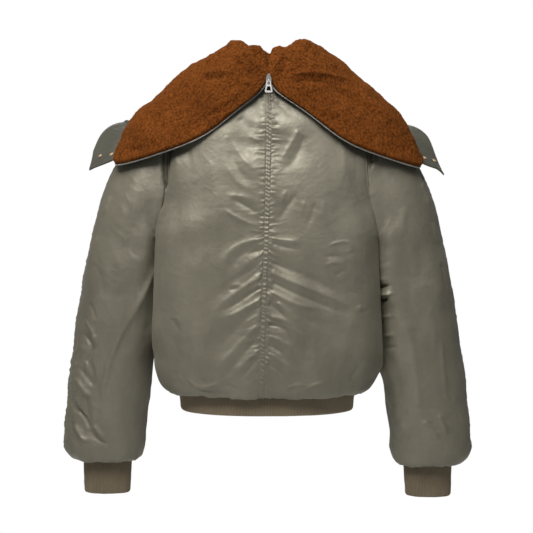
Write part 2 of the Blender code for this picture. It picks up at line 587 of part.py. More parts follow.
def hood_zip(side):
    """tape along the hood half's zip edge, and the row of teeth along the tape"""
    s = S_ZIP
    edge = hood(s, np.full_like(s, T_EDGE))
    N = hood_normal(s, np.full_like(s, T_EDGE))
    along = unit(np.gradient(edge, axis=0))
    out = unit(np.cross(along, N))
    lead = edge - hood(s, np.full_like(s, T_EDGE - 0.1))
    out = np.where(np.sum(out * lead, -1, keepdims=True) > 0, out, -out)
    # at the apex the two tapes meet on the centre line, side by side
    base = edge - N * (PILE - 0.0006)
    a0, a1 = GAP, GAP + TAPE_W
    b0, b1 = a1 + GAP, a1 + GAP + TEETH_W
    for name, kind, w0, w1, d0, d1 in (("hood_tape_", "tape", a0, a1, 0.0, -TAPE_WALL), ("hood_teeth_", "metal", b0, b1, TEETH_T / 2 - TAPE_WALL / 2, -TEETH_T / 2 - TAPE_WALL / 2)):
        outer = np.stack([base + out * w0 + N * d0, base + out * w1 + N * d0], 1)
        inner = np.stack([base + out * w0 + N * d1, base + out * w1 + N * d1], 1)
        for g in (outer, inner):
            g[..., 0] = np.maximum(g[..., 0], GAP / 2)
            g[-1] += (g[-2] - g[-1]) * 0.08         # ends short of the face band
        skin(name + side, kind, outer, inner, mirror=side == "left", warp=lie)


# ------------------------------------------------------------------ zips' hard pieces


def flat_plate(name, outlines, thick, kind):
    """flat outline with holes, as a 2D curve, extruded to its thickness"""
    cu = bpy.data.curves.new(name, "CURVE")
    cu.dimensions = "2D"
    cu.fill_mode = "BOTH"
    cu.extrude = thick / 2
    for points in outlines:
        sp = cu.splines.new("POLY")
        sp.points.add(len(points) - 1)
        for q, (x, y) in zip(sp.points, points):
            q.co = (x, y, 0, 1)
        sp.use_cyclic_u = True
    ob = bpy.data.objects.new(name + "_curve", cu)
    COLLECTION.objects.link(ob)
    deps = bpy.context.evaluated_depsgraph_get()
    mesh = bpy.data.meshes.new_from_object(ob.evaluated_get(deps))
    mesh.name = name
    bpy.data.objects.remove(ob, do_unlink=True)
    bm = bmesh.new()
    bm.from_mesh(mesh)
    bmesh.ops.remove_doubles(bm, verts=bm.verts, dist=0.00001)
    bmesh.ops.recalc_face_normals(bm, faces=bm.faces)
    bm.to_mesh(mesh)
    bm.free()
    return add(name, mesh, kind)


def circle(cx, cy, rx, ry, n):
    return [(cx + rx * cos(2 * pi * i / n), cy + ry * sin(2 * pi * i / n)) for i in range(n)]


PULL_PROFILE = [  # height under the pivot, half width
    (0.0010, 0.0022), (0.0004, 0.0032), (-0.0012, 0.0040), (-0.0040, 0.0042), (-0.0062, 0.0045),
    (-0.0090, 0.0052), (-0.0130, 0.0062), (-0.0165, 0.0068), (-0.0185, 0.0068), (-0.0197, 0.0058), (-0.0202, 0.0040),
]


def pull_plate(name):
    right = [(w, h) for h, w in PULL_PROFILE]
    left = [(-w, h) for h, w in reversed(PULL_PROFILE)]
    eye = circle(0, -0.0035, 0.0025, 0.0028, 12)
    window = [(-0.0024, -0.0092), (0.0024, -0.0092), (0.0040, -0.0158), (0.0034, -0.0168), (-0.0034, -0.0168), (-0.0040, -0.0158)]
    return flat_plate(name, [right + left, eye, window], PULL_T, "metal")


def slider_body(name):
    """front plate with the bridge over it; local x across, y up the zip, z out of the cloth"""
    w, l = SLIDER_W / 2, SLIDER_L
    right = [(w * 0.42, 0.0), (w * 0.62, -l * 0.14), (w * 0.98, -l * 0.46), (w, -l * 0.72), (w * 0.86, -l * 0.94), (w * 0.66, -l)]
    outline = right + [(-x, y) for x, y in reversed(right)]
    plate = flat_plate(name, [outline], SLIDER_T, "metal")
    top, bar = 0.0055, ARCH_BAR
    out = [(-0.0102, 0), (-0.0102, top * 0.6), (-0.0110, top - 0.0006), (-0.0120, top), (-0.0172, top), (-0.0182, top - 0.0006), (-0.0190, top * 0.6), (-0.0190, 0)]
    hole = [(-0.0102 - bar, SLIDER_T / 2 + 0.0003), (-0.0102 - bar, top * 0.6), (-0.0122, top - bar), (-0.0170, top - bar), (-0.0190 + bar, top * 0.6), (-0.0190 + bar, SLIDER_T / 2 + 0.0003)]
    arch = flat_plate(name + "_arch", [out, hole], ARCH_W, "metal")
    # stand the arch up: its outline's x runs along the zip, its y out of the cloth
    arch.matrix_world = Matrix(((0, 0, 1, 0), (1, 0, 0, 0), (0, 1, 0, 0), (0, 0, 0, 1)))
    arch.data.transform(arch.matrix_world)
    arch.matrix_world = Matrix()
    join = plate.modifiers.new("bridge", "BOOLEAN")
    join.operation = "UNION"
    join.solver = "EXACT"
    join.object = arch
    deps = bpy.context.evaluated_depsgraph_get()
    mesh = bpy.data.meshes.new_from_object(plate.evaluated_get(deps))
    plate.modifiers.clear()
    old = plate.data
    plate.data = mesh
    bpy.data.meshes.remove(old)
    bpy.data.objects.remove(arch, do_unlink=True)
    mesh.name = name
    return plate


def frame_at(point, out, up):
    """placement with local z along out and local y up the zip"""
    z = Vector(out).normalized()
    y = Vector(up)
    y = (y - z * y.dot(z)).normalized()
    x = y.cross(z)
    m = Matrix((x, y, z)).transposed().to_4x4()
    m.translation = Vector(point)
    return m


def zip_hardware(prefix, point, out, up):
    """slider with its upper end at point, and the pull tab hanging from its bridge"""
    m = frame_at(point, out, up)
    body = slider_body(prefix + "_slider")
    body.matrix_world = m @ Matrix.Translation((0, 0, SLIDER_T / 2))
    tab = pull_plate(prefix + "_pull")
    tab.matrix_world = m @ Matrix.Translation((0, -0.0136, SLIDER_T / 2 + SLIDER_T / 2 + 0.0016))
    pivot = tab.matrix_world.translation
    print("PIVOT", prefix, [round(c, 6) for c in pivot], "axis x", [round(c, 5) for c in tab.matrix_world.col[0][:3]])


def across(path):
    """unit vectors square to a path of (y, z) points, pointing forward"""
    along = unit(np.gradient(path, axis=0))
    out = np.stack([-along[:, 1], along[:, 0]], 1)
    return np.where(out[:, :1] > 0, out, -out)


def front_zip():
    """tapes and teeth rows down the front, from the neck seam to the bottom of the rib"""
    v = np.array([18, 17.3, 16.5, 15.5, 14.5, 13.5, 12.5, 11.5, 10.5, 9, 7.5, 6, 5, 4.3, 2.0, 0.0])
    path = torso(v, 180.0)[:, 1:]
    path = np.concatenate([path, rib(np.array([1.0, 2.0, 3.0]), 180.0)[:, 1:]])
    out = across(path)
    # the tape lies behind the fronts and then behind the rib
    behind = path[:len(v) - 2] - out[:len(v) - 2] * (WALL + 0.0014)
    low = rib(np.array([0.6, 1.0, 2.0, 3.0]), 180.0)[:, 1:] - np.array([RIB_WALL + 0.0013, 0])
    low[0, 1] = RIB[0, 0] - 0.0010
    behind = np.concatenate([behind, low])
    strips = (("front_teeth_", "metal", GAP / 2, 0.0030, path, out, -0.0004, -0.0034),
              ("front_tape_", "tape", 0.0034, 0.0150, behind, across(behind), 0.0, -TAPE_WALL))
    for side in ("left", "right"):
        for name, kind, x0, x1, line, square, d0, d1 in strips:
            grids = []
            for d in (d0, d1):
                q = line + square * d
                grids.append(np.stack([np.column_stack([np.full(len(q), x), q]) for x in (x0, x1)], 1))
            skin(name + side, kind, grids[0], grids[1], mirror=side == "left")
    return path, out


# ------------------------------------------------------------------ build
for side in ("left", "right"):
    panel("back_" + side, False, side)
    panel("front_" + side, True, side)
    sleeve_piece(side)
    cuff_piece(side)
    hood_layers(side)
    band_piece(side)
    hood_zip(side)
rib_piece()
path, out = front_zip()
apex = lie(hood(0.0, T_EDGE))
zip_hardware("hood", (apex[0], apex[1] - 0.0040, apex[2] - 0.0029), (0, -1, 0), (0, 0, 1))
k = 2
n = out[k]
p = path[k] + n * 0.0004
zip_hardware("front", (0, p[0], p[1]), (0, n[0], n[1]), (0, -n[1], n[0]))
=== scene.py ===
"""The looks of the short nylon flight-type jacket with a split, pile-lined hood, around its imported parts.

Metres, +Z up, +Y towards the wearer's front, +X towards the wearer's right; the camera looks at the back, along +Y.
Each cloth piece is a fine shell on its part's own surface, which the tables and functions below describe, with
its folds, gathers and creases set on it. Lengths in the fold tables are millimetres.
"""
import json
import bpy
import bmesh
import numpy as np
from math import radians, degrees, sin, cos, pi, tan
from mathutils import Matrix, Vector

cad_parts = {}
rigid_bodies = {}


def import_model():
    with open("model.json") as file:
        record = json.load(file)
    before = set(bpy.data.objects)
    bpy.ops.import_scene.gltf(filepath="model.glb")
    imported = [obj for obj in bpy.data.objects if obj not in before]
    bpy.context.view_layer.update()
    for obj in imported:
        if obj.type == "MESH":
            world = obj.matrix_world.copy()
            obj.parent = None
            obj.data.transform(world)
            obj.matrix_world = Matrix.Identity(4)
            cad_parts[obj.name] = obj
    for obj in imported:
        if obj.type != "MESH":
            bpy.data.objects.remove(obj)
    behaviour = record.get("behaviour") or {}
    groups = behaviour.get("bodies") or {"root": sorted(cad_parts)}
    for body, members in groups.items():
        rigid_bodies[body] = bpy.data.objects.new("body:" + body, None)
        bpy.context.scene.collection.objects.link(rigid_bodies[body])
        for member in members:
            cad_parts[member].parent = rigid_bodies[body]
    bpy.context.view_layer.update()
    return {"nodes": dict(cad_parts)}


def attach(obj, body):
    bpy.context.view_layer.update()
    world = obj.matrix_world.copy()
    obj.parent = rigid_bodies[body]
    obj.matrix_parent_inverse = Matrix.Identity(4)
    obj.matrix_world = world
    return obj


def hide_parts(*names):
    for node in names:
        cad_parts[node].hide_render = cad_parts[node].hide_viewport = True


for ob in list(bpy.data.objects):
    bpy.data.objects.remove(ob, do_unlink=True)
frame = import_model()

# ------------------------------------------------------------------ named sizes
WALL = 0.0030          # padded nylon
RIB_WALL = 0.0030      # rib knit, doubled
GAP = 0.0003           # between neighbours at a seam
PILE = 0.0080          # pile lining
HOOD_WALL = 0.0020     # hood outer
BAND_WALL = 0.0025     # face band, doubled nylon
TAPE_WALL = 0.0008
TAPE_W = 0.0030
TEETH_W = 0.0027
TEETH_T = 0.0026

# torso sections from the hem seam (row 0) up to the neck seam (row 18)
TORSO_COLUMNS = ("z", "half_width", "back", "front", "power", "front_drop")
TORSO = np.array([
    (-0.5800, 0.1690, 0.1165, 0.1120, 2.35, 0.000),
    (-0.5870, 0.1775, 0.1235, 0.1180, 2.35, 0.000),
    (-0.5885, 0.1870, 0.1305, 0.1235, 2.35, 0.000),
    (-0.5800, 0.1985, 0.1370, 0.1290, 2.40, 0.000),
    (-0.5620, 0.2080, 0.1415, 0.1335, 2.40, 0.000),
    (-0.5300, 0.2140, 0.1440, 0.1360, 2.45, 0.000),
    (-0.4800, 0.2128, 0.1450, 0.1370, 2.50, 0.000),
    (-0.4200, 0.2095, 0.1445, 0.1365, 2.50, 0.000),
    (-0.3600, 0.2068, 0.1430, 0.1350, 2.50, 0.000),
    (-0.3000, 0.2050, 0.1405, 0.1330, 2.50, 0.000),
    (-0.2400, 0.2045, 0.1375, 0.1300, 2.50, 0.000),
    (-0.1800, 0.2040, 0.1310, 0.1250, 2.50, 0.002),
    (-0.1300, 0.2030, 0.1220, 0.1170, 2.45, 0.008),
    (-0.0900, 0.2010, 0.1120, 0.1060, 2.40, 0.020),
    (-0.0620, 0.1970, 0.1030, 0.0960, 2.35, 0.034),
    (-0.0420, 0.1600, 0.0950, 0.0870, 2.25, 0.046),
    (-0.0240, 0.1240, 0.0870, 0.0790, 2.15, 0.055),
    (-0.0100, 0.0970, 0.0805, 0.0720, 2.10, 0.060),
    (0.0000, 0.0780, 0.0750, 0.0660, 2.05, 0.064),
])
ROW_PIT, ROW_SHOULDER, ROW_NECK = 9.0, 14.0, 18.0
ARM_TOP, ARM_PIT = -0.0620, -0.3000     # heights of the shoulder point and the armpit
ARM_BACK, ARM_FRONT = 0.0760, 0.0780    # how far the armhole reaches back and forward
ZIP_HALF = 0.0040                       # half the opening that the front zip fills

# sleeve sections from the armhole (row 0) to the cuff seam
SLEEVE_COLUMNS = ("inner_x", "inner_z", "outer_x", "outer_z", "half_depth", "centre_y", "power")
SLEEVE = np.array([
    (0.2050, -0.3000, 0.1970, -0.0620, 0.0770, -0.0020, 2.00),
    (0.2070, -0.3040, 0.2270, -0.0850, 0.0830, -0.0010, 2.00),
    (0.2080, -0.3080, 0.2500, -0.1120, 0.0860, 0.0000, 2.02),
    (0.2090, -0.3130, 0.2720, -0.1430, 0.0870, 0.0020, 2.05),
    (0.2097, -0.3200, 0.2945, -0.1800, 0.0865, 0.0040, 2.10),
    (0.2103, -0.3300, 0.3140, -0.2260, 0.0855, 0.0060, 2.12),
    (0.2110, -0.3450, 0.3300, -0.2850, 0.0840, 0.0090, 2.15),
    (0.2118, -0.3750, 0.3440, -0.3500, 0.0820, 0.0120, 2.20),
    (0.2135, -0.4250, 0.3565, -0.4200, 0.0790, 0.0160, 2.20),
    (0.2165, -0.4850, 0.3670, -0.4850, 0.0750, 0.0200, 2.20),
    (0.2210, -0.5500, 0.3765, -0.5500, 0.0710, 0.0240, 2.20),
    (0.2285, -0.6150, 0.3840, -0.6150, 0.0670, 0.0280, 2.20),
    (0.2350, -0.6650, 0.3885, -0.6650, 0.0640, 0.0310, 2.20),
    (0.2400, -0.7020, 0.3900, -0.7020, 0.0610, 0.0330, 2.20),
    (0.2450, -0.7230, 0.3860, -0.7230, 0.0580, 0.0340, 2.20),
    (0.2510, -0.7360, 0.3770, -0.7360, 0.0530, 0.0350, 2.20),
    (0.2570, -0.7405, 0.3650, -0.7405, 0.0460, 0.0350, 2.20),
    (0.2620, -0.7360, 0.3570, -0.7360, 0.0385, 0.0350, 2.20),
])
CUFF = np.array([
    (0.2624, -0.7330, 0.3566, -0.7330, 0.0381, 0.0350, 2.20),
    (0.2632, -0.7450, 0.3568, -0.7450, 0.0345, 0.0350, 2.20),
    (0.2650, -0.7700, 0.3563, -0.7700, 0.0308, 0.0355, 2.20),
    (0.2664, -0.7950, 0.3552, -0.7950, 0.0295, 0.0360, 2.20),
])
# the two sleeves don't hang quite alike: how far the cuff end sits outwards and down
HANG = {"left": (-0.0016, 0.0033), "right": (0.0016, -0.0033)}
# each sleeve is cut in a back and a front half. Their upper seam leaves the armhole this many degrees
# behind the shoulder point and reaches the outside of the arm at level SEAM_OUT
SEAM_TOP = {"left": 45.0, "right": 15.0}
SEAM_OUT = 4.8

RIB_COLUMNS = ("z", "half_width", "back", "front")
RIB = np.array([
    (-0.5765, 0.1685, 0.1160, 0.1113),
    (-0.5900, 0.1680, 0.1160, 0.1115),
    (-0.6060, 0.1660, 0.1150, 0.1105),
    (-0.6230, 0.1645, 0.1135, 0.1090),
])

# hood half, face of the pile: a row for each place round the neck, from the back centre to the throat.
# neck_deg, then the crest, two points of the fall and the edge, each (x, y, z)
HOOD = [
    (0.0, (0.0000, -0.0800, 0.0420), (0.0000, -0.0955, 0.0350), (0.0000, -0.1050, 0.0180), (0.0000, -0.1090, 0.0015)),
    (12.0, (0.0200, -0.0790, 0.0475), (0.0215, -0.0960, 0.0385), (0.0230, -0.1080, 0.0080), (0.0195, -0.1125, -0.0310)),
    (32.0, (0.0560, -0.0700, 0.0610), (0.0660, -0.0930, 0.0450), (0.0690, -0.1130, 0.0020), (0.0600, -0.1200, -0.0610)),
    (60.0, (0.0860, -0.0450, 0.0545), (0.1110, -0.0720, 0.0310), (0.1270, -0.1030, -0.0360), (0.1260, -0.1205, -0.1080)),
    (85.0, (0.1090, -0.0150, 0.0430), (0.1610, -0.0450, 0.0060), (0.1980, -0.0890, -0.0630), (0.2010, -0.1110, -0.1400)),
    (105.0, (0.1240, 0.0150, 0.0340), (0.1870, -0.0120, -0.0110), (0.2480, -0.0520, -0.0740), (0.2740, -0.0810, -0.1600)),
    (122.0, (0.1210, 0.0430, 0.0200), (0.1840, 0.0320, -0.0190), (0.2500, 0.0080, -0.0700), (0.2890, -0.0290, -0.1450)),
    (140.0, (0.0980, 0.0720, 0.0010), (0.1530, 0.0790, -0.0310), (0.2080, 0.0780, -0.0600), (0.2540, 0.0600, -0.0940)),
    (158.0, (0.0570, 0.0920, -0.0220), (0.0940, 0.1070, -0.0500), (0.1270, 0.1150, -0.0800), (0.1580, 0.1170, -0.1110)),
    (173.0, (0.0200, 0.0950, -0.0380), (0.0340, 0.1100, -0.0620), (0.0470, 0.1190, -0.0900), (0.0570, 0.1240, -0.1180)),
]
HOOD_T = np.array([0.0, 0.9, 1.9, 3.0, 4.2, 5.2])   # where neck, stand, crest, falls and edge lie on t
T_EDGE = 5.2
CORNER = 5.9                                        # row at which the zip edge turns into the face edge

# outer edge of the face band: hood row, then (x, y, z)
BAND = [
    (5.9, (0.3390, 0.0000, -0.1720)),
    (6.5, (0.3240, 0.0420, -0.1300)),
    (7.0, (0.3040, 0.0820, -0.0920)),
    (7.5, (0.2540, 0.1230, -0.0790)),
    (8.0, (0.1950, 0.1460, -0.1200)),
    (8.5, (0.1350, 0.1530, -0.1520)),
    (9.0, (0.0760, 0.1440, -0.1660)),
]
STUDS = [(6.14, 0.30), (6.17, 0.72)]                # hood row and share of the band's width
STUD_R, STUD_H = 0.0042, 0.0016
# the open hood doesn't lie quite evenly: its crest leans to +X, its left half lies a little higher on the shoulder
# and lower beside the neck, the left flank falls off steeper, the left band stands out and the right tip hangs
LEAN, LIFT, DIP, FLANK, ASIDE = 0.0055, 0.0015, 0.0055, 0.0045, 0.0033
BAND_OUT, TIP = (-0.0080, 0.0050), (-0.0030, -0.0090)

SLIDER_W, SLIDER_L, SLIDER_T = 0.0100, 0.0195, 0.0024
ARCH_W, ARCH_BAR = 0.0020, 0.0013
PULL_T = 0.0012

# ------------------------------------------------------------------ curves through tables


def pchip(xs, ys, x):
    """smooth curve through a table column that never overshoots it"""
    xs, ys = np.asarray(xs, float), np.asarray(ys, float)
    x = np.clip(np.asarray(x, float), xs[0], xs[-1])
    h = np.diff(xs)
    d = np.diff(ys) / h
    m = np.zeros(len(xs))
    for i in range(1, len(xs) - 1):
        if d[i - 1] * d[i] > 0:
            w1, w2 = 2 * h[i] + h[i - 1], h[i] + 2 * h[i - 1]
            m[i] = (w1 + w2) / (w1 / d[i - 1] + w2 / d[i])
    m[0], m[-1] = d[0], d[-1]
    k = np.clip(np.searchsorted(xs, x, side="right") - 1, 0, len(xs) - 2)
    t = (x - xs[k]) / h[k]
    return ((2 * t**3 - 3 * t**2 + 1) * ys[k] + (t**3 - 2 * t**2 + t) * h[k] * m[k]
            + (-2 * t**3 + 3 * t**2) * ys[k + 1] + (t**3 - t**2) * h[k] * m[k + 1])


def spline(xs, ys, x):
    """natural cubic spline through rows of points"""
    xs, ys = np.asarray(xs, float), np.asarray(ys, float)
    n = len(xs)
    h = np.diff(xs)
    flat = ys.reshape(n, -1)
    A, r = np.zeros((n, n)), np.zeros_like(flat)
    A[0, 0] = A[-1, -1] = 1
    for i in range(1, n - 1):
        A[i, i - 1:i + 2] = h[i - 1], 2 * (h[i - 1] + h[i]), h[i]
        r[i] = 6 * ((flat[i + 1] - flat[i]) / h[i] - (flat[i] - flat[i - 1]) / h[i - 1])
    m = np.linalg.solve(A, r)
    x = np.asarray(x, float)
    k = np.clip(np.searchsorted(xs, x, side="right") - 1, 0, n - 2)
    a, b, hk = (xs[k + 1] - x)[..., None], (x - xs[k])[..., None], h[k][..., None]
    out = (m[k] * a**3 / (6 * hk) + m[k + 1] * b**3 / (6 * hk)
           + (flat[k] / hk - m[k] * hk / 6) * a + (flat[k + 1] / hk - m[k + 1] * hk / 6) * b)
    return out.reshape(x.shape + ys.shape[1:])


def sgnpow(v, p):
    return np.sign(v) * np.abs(v) ** p


# ------------------------------------------------------------------ the garment's surfaces
ROWS = np.arange(len(TORSO), dtype=float)


def torso(v, th):
    """outer face at level v and angle th: 0 back centre, 90 side, 180 front centre"""
    v, th = np.broadcast_arrays(np.asarray(v, float), np.asarray(th, float))
    z, a, yb, yf, n, drop = (pchip(ROWS, TORSO[:, i], v) for i in range(6))
    # at the front centre the hem runs straight into the rib, so that the zip lies flat
    flat = np.exp(-((180 - np.abs(th)) / 10.0) ** 2) * np.clip(1 - v / 4, 0, 1)
    z4, f0, f4 = TORSO[4, 0], TORSO[0, 3] + 0.0035, TORSO[4, 3]
    z = z + flat * ((TORSO[0, 0] + (z4 - TORSO[0, 0]) * v / 4) - z) * (v < 4)
    yf = yf + flat * ((f0 + (f4 - f0) * v / 4) - yf) * (v < 4)
    s, c = np.sin(np.radians(th)), np.cos(np.radians(th))
    x = a * sgnpow(s, 2 / n)
    y = -np.where(c > 0, yb, yf) * sgnpow(c, 2 / n)
    return np.stack([x, y, z - drop * np.clip(-c, 0, 1) ** 1.4], -1)


def level_of(z):
    v = np.linspace(4, ROW_NECK, 3000)
    return np.interp(z, pchip(ROWS, TORSO[:, 0], v), v)


def armhole(phi):
    """level and angle of the armhole: phi 0 at the shoulder point, 90 back, 180 armpit, 270 front"""
    phi = np.asarray(phi, float)
    z = (ARM_TOP + ARM_PIT) / 2 + (ARM_TOP - ARM_PIT) / 2 * np.cos(np.radians(phi))
    v, s = level_of(z), np.sin(np.radians(phi))
    b = np.where(s >= 0, pchip(ROWS, TORSO[:, 2], v), pchip(ROWS, TORSO[:, 3], v))
    y = np.where(s >= 0, ARM_BACK, ARM_FRONT) * np.abs(s) ** 0.92
    th = np.degrees(np.arccos(np.clip(y / b, 0, 1) ** (pchip(ROWS, TORSO[:, 4], v) / 2)))
    return v, np.where(s >= 0, th, 180 - th)


def ring(table, v, phi):
    """section v of a tube at angle phi: 0 outer, 90 back, 180 inner, 270 front"""
    v, phi = np.broadcast_arrays(np.asarray(v, float), np.asarray(phi, float))
    rows = np.arange(len(table), dtype=float)
    ix, iz, ox, oz, d, cy, n = (pchip(rows, table[:, i], v) for i in range(7))
    pc, ps = sgnpow(np.cos(np.radians(phi)), 2 / n), sgnpow(np.sin(np.radians(phi)), 2 / n)
    return np.stack([(ix + ox) / 2 + pc * (ox - ix) / 2, cy - d * ps, (iz + oz) / 2 + pc * (oz - iz) / 2], -1)


def sleeve(v, phi, side="right"):
    """outer face of the sleeve; its first rings blend into the armhole's own curve"""
    v, phi = np.broadcast_arrays(np.asarray(v, float), np.asarray(phi, float))
    av, ath = armhole(np.mod(phi, 360))
    k = np.clip(1 - v / 3.0, 0, 1)[..., None]
    p = ring(SLEEVE, v, phi) + (torso(av, ath) - ring(SLEEVE, np.zeros_like(v), phi)) * (k * k * (3 - 2 * k))
    return hang(p, side)


def hang(p, side):
    dx, dz = HANG[side]
    k = np.clip((-0.30 - p[..., 2]) / 0.40, 0, 1) ** 1.5
    return p + np.stack([dx * k, 0 * k, dz * k], -1)


def sleeve_columns(v, side):
    """25 angles round the sleeve at each level, from the upper seam over the back and the armpit to the seam again"""
    top = SEAM_TOP[side]
    k = np.clip(np.asarray(v, float) / SEAM_OUT, 0, 1)[..., None]
    turn = top * k * k * (3 - 2 * k)
    phi = top + np.arange(0, 361, 15.0)
    near = np.clip(1 - (phi - top) / (180 - top), 0, 1)
    far = np.clip(1 - (360 + top - phi) / (180 + top), 0, 1)
    return phi - turn * (near + far)


def cuff(v, phi, side="right"):
    return hang(ring(CUFF, v, phi), side)


def rib(v, th):
    v, th = np.broadcast_arrays(np.asarray(v, float), np.asarray(th, float))
    rows = np.arange(len(RIB), dtype=float)
    z, a, yb, yf = (pchip(rows, RIB[:, i], v) for i in range(4))
    # its top edge stands inside the shell, and under the shell's edge beside the zip
    z = z - 0.0060 * np.exp(-((180 - np.abs(th)) / 10.0) ** 2) * (v < 0.5)
    s, c = np.sin(np.radians(th)), np.cos(np.radians(th))
    return np.stack([a * sgnpow(s, 2 / 2.35), -np.where(c > 0, yb, yf) * sgnpow(c, 2 / 2.35), z], -1)


def unit(a):
    return a / np.maximum(np.linalg.norm(a, axis=-1, keepdims=True), 1e-12)


def hood_net():
    """rows of points from the neck seam to the edge, one row for each line of HOOD"""
    net = []
    for deg, *points in HOOD:
        seam = torso(ROW_NECK, deg) + np.array([0, 0, 0.0010])
        out = unit(seam * np.array([1, 1, 0]))
        crest = np.array(points[0])
        neck = seam - out * (PILE + HOOD_WALL + GAP)
        for _ in range(4):
            stand = neck * 0.74 + crest * 0.26
            stand[2] = neck[2] + 0.60 * (crest[2] - neck[2])
            up = unit(stand - neck)
            around = unit(np.cross([0, 0, 1], out))
            face = unit(np.cross(up, around))
            face = face if face @ out < 0 else -face
            neck = seam + face * (PILE + HOOD_WALL + GAP)
        net.append([neck, stand] + [np.array(p) for p in points])
    return np.array(net)


NET = hood_net()


def hood(s, t):
    """face of the pile: s 0 back centre to 9 throat, t 0 neck seam to T_EDGE"""
    s, t = np.broadcast_arrays(np.asarray(s, float), np.asarray(t, float))
    rows, inverse = np.unique(s.ravel(), return_inverse=True)
    across = spline(np.arange(len(NET), dtype=float), NET, rows)
    out = np.empty((s.size, 3))
    for i in range(len(rows)):
        pick = inverse.ravel() == i
        out[pick] = spline(HOOD_T, across[i], t.ravel()[pick])
    return out.reshape(s.shape + (3,))


def lie(p):
    """move points of the finished hood to how it lies"""
    x, y, z = p[..., 0], p[..., 1], p[..., 2]
    lean = LEAN * np.exp(-(x / 0.12) ** 2) * np.clip((z - 0.002) / 0.038, 0, 1)
    free = np.clip((np.hypot(x, y) - 0.085) / 0.025, 0, 1)      # nothing moves at the neck seam
    aside = ASIDE * np.exp(-(x / 0.06) ** 2) * free * np.clip((0.022 - z) / 0.020, 0, 1)      # the apex lies right of the middle
    k = np.clip((-x - 0.12) / 0.18, 0, 1)
    dip = DIP * np.clip(x / 0.02, -1, 1) * np.exp(-((np.abs(x) - 0.09) / 0.05) ** 2) * free
    flank = FLANK * np.exp(-((x + 0.225) / 0.06) ** 2 - ((z + 0.04) / 0.045) ** 2)
    corner = np.exp(-((x + 0.300) / 0.035) ** 2 - ((z + 0.155) / 0.030) ** 2)
    band = np.clip((np.abs(x) * 0.8 + y * 0.6 - 0.245) / 0.04, 0, 1)
    left = np.where(x < 0, band * band * (3 - 2 * band) * np.clip((z + 0.172) / 0.03, 0, 1), 0)
    right = np.where(x > 0, band * band * (3 - 2 * band) * np.clip((-0.105 - z) / 0.06, 0, 1), 0)
    return p + np.stack([lean + aside + flank + 0.0050 * corner + left * BAND_OUT[0] + right * TIP[0], 0 * x,
                         LIFT * k * k * (3 - 2 * k) + dip - flank + 0.0055 * corner + left * BAND_OUT[1] + right * TIP[1]], -1)


def normal(f, v, u, turn=1, du=0.4, dv=0.02):
    """unit normal of f(v, u), from the whole surface, so that neighbours share it at their seam"""
    a = f(v, np.asarray(u) + du) - f(v, np.asarray(u) - du)
    b = f(np.asarray(v) + dv, u) - f(np.asarray(v) - dv, u)
    return turn * unit(np.cross(a, b))


def hood_normal(s, t):
    s, t = np.broadcast_arrays(np.asarray(s, float), np.asarray(t, float))
    a = hood(s + 0.02, t) - hood(s - 0.02, t)
    b = hood(s, t + 0.02) - hood(s, t - 0.02)
    n = np.cross(b, a)
    n[s <= 1e-6, 0] = 0
    return unit(n)


def arm_normal(phi, side):
    """shared normal along the armhole seam, half way between the torso's and the sleeve's"""
    v, th = armhole(phi)
    a = normal(torso, v, th)
    b = normal(lambda q, u: sleeve(q, u, side), 0.3, phi, dv=0.25)
    return unit(a + b)


def band_face(s, w):
    """outer face of the face band: w 0 at the pile's edge, 1 at its own outer edge"""
    s, w = np.broadcast_arrays(np.asarray(s, float), np.asarray(w, float))
    depth = PILE + HOOD_WALL + GAP - BAND_WALL
    root = hood(s, np.full_like(s, T_EDGE)) - hood_normal(s, np.full_like(s, T_EDGE)) * depth
    lead = unit(hood(s, np.full_like(s, T_EDGE)) - hood(s, np.full_like(s, T_EDGE - 0.05)))
    root = root + lead * 0.0012
    tip = spline([r for r, p in BAND], np.array([p for r, p in BAND]), s)
    k = w[..., None]
    length = np.linalg.norm(tip - root, axis=-1, keepdims=True)
    return root * (1 - k) + tip * k + lead * length * 0.28 * k * (1 - k) * (1 - k)


def across(path):
    """unit vectors square to a path of (y, z) points, pointing forward"""
    along = unit(np.gradient(path, axis=0))
    out = np.stack([-along[:, 1], along[:, 0]], 1)
    return np.where(out[:, :1] > 0, out, -out)


# ------------------------------------------------------------------ noise
RNG = np.random.default_rng(11)
PERM = np.concatenate([RNG.permutation(256)] * 2)
GRAD = unit(RNG.normal(size=(256, 3)))


def smooth(t):
    t = np.clip(t, 0, 1)
    return t * t * (3 - 2 * t)


def noise(p):
    """gradient noise, about -0.6 to 0.6, with a period of one unit"""
    i = np.floor(p).astype(int)
    f = p - i
    i &= 255
    u = f * f * f * (f * (f * 6 - 15) + 10)
    out = 0.0
    for a in (0, 1):
        for b in (0, 1):
            for c in (0, 1):
                h = PERM[(PERM[(PERM[(i[..., 0] + a) & 255] + i[..., 1] + b) & 255] + i[..., 2] + c) & 255]
                d = np.sum(GRAD[h] * (f - np.array([a, b, c])), -1)
                w = (u[..., 0] if a else 1 - u[..., 0]) * (u[..., 1] if b else 1 - u[..., 1]) * (u[..., 2] if c else 1 - u[..., 2])
                out = out + w * d
    return out


def crumple(p, size, seed=0.0):
    """creased cloth: soft ground with sharp crests, about -1 to 1"""
    q = p / size + seed
    warp = np.stack([noise(q * 0.7 + 17), noise(q * 0.7 + 43), noise(q * 0.7 + 71)], -1)
    q = q + 0.9 * warp
    return 0.8 - 2.6 * np.abs(noise(q)) - 1.1 * np.abs(noise(q * 2.1 + 9))


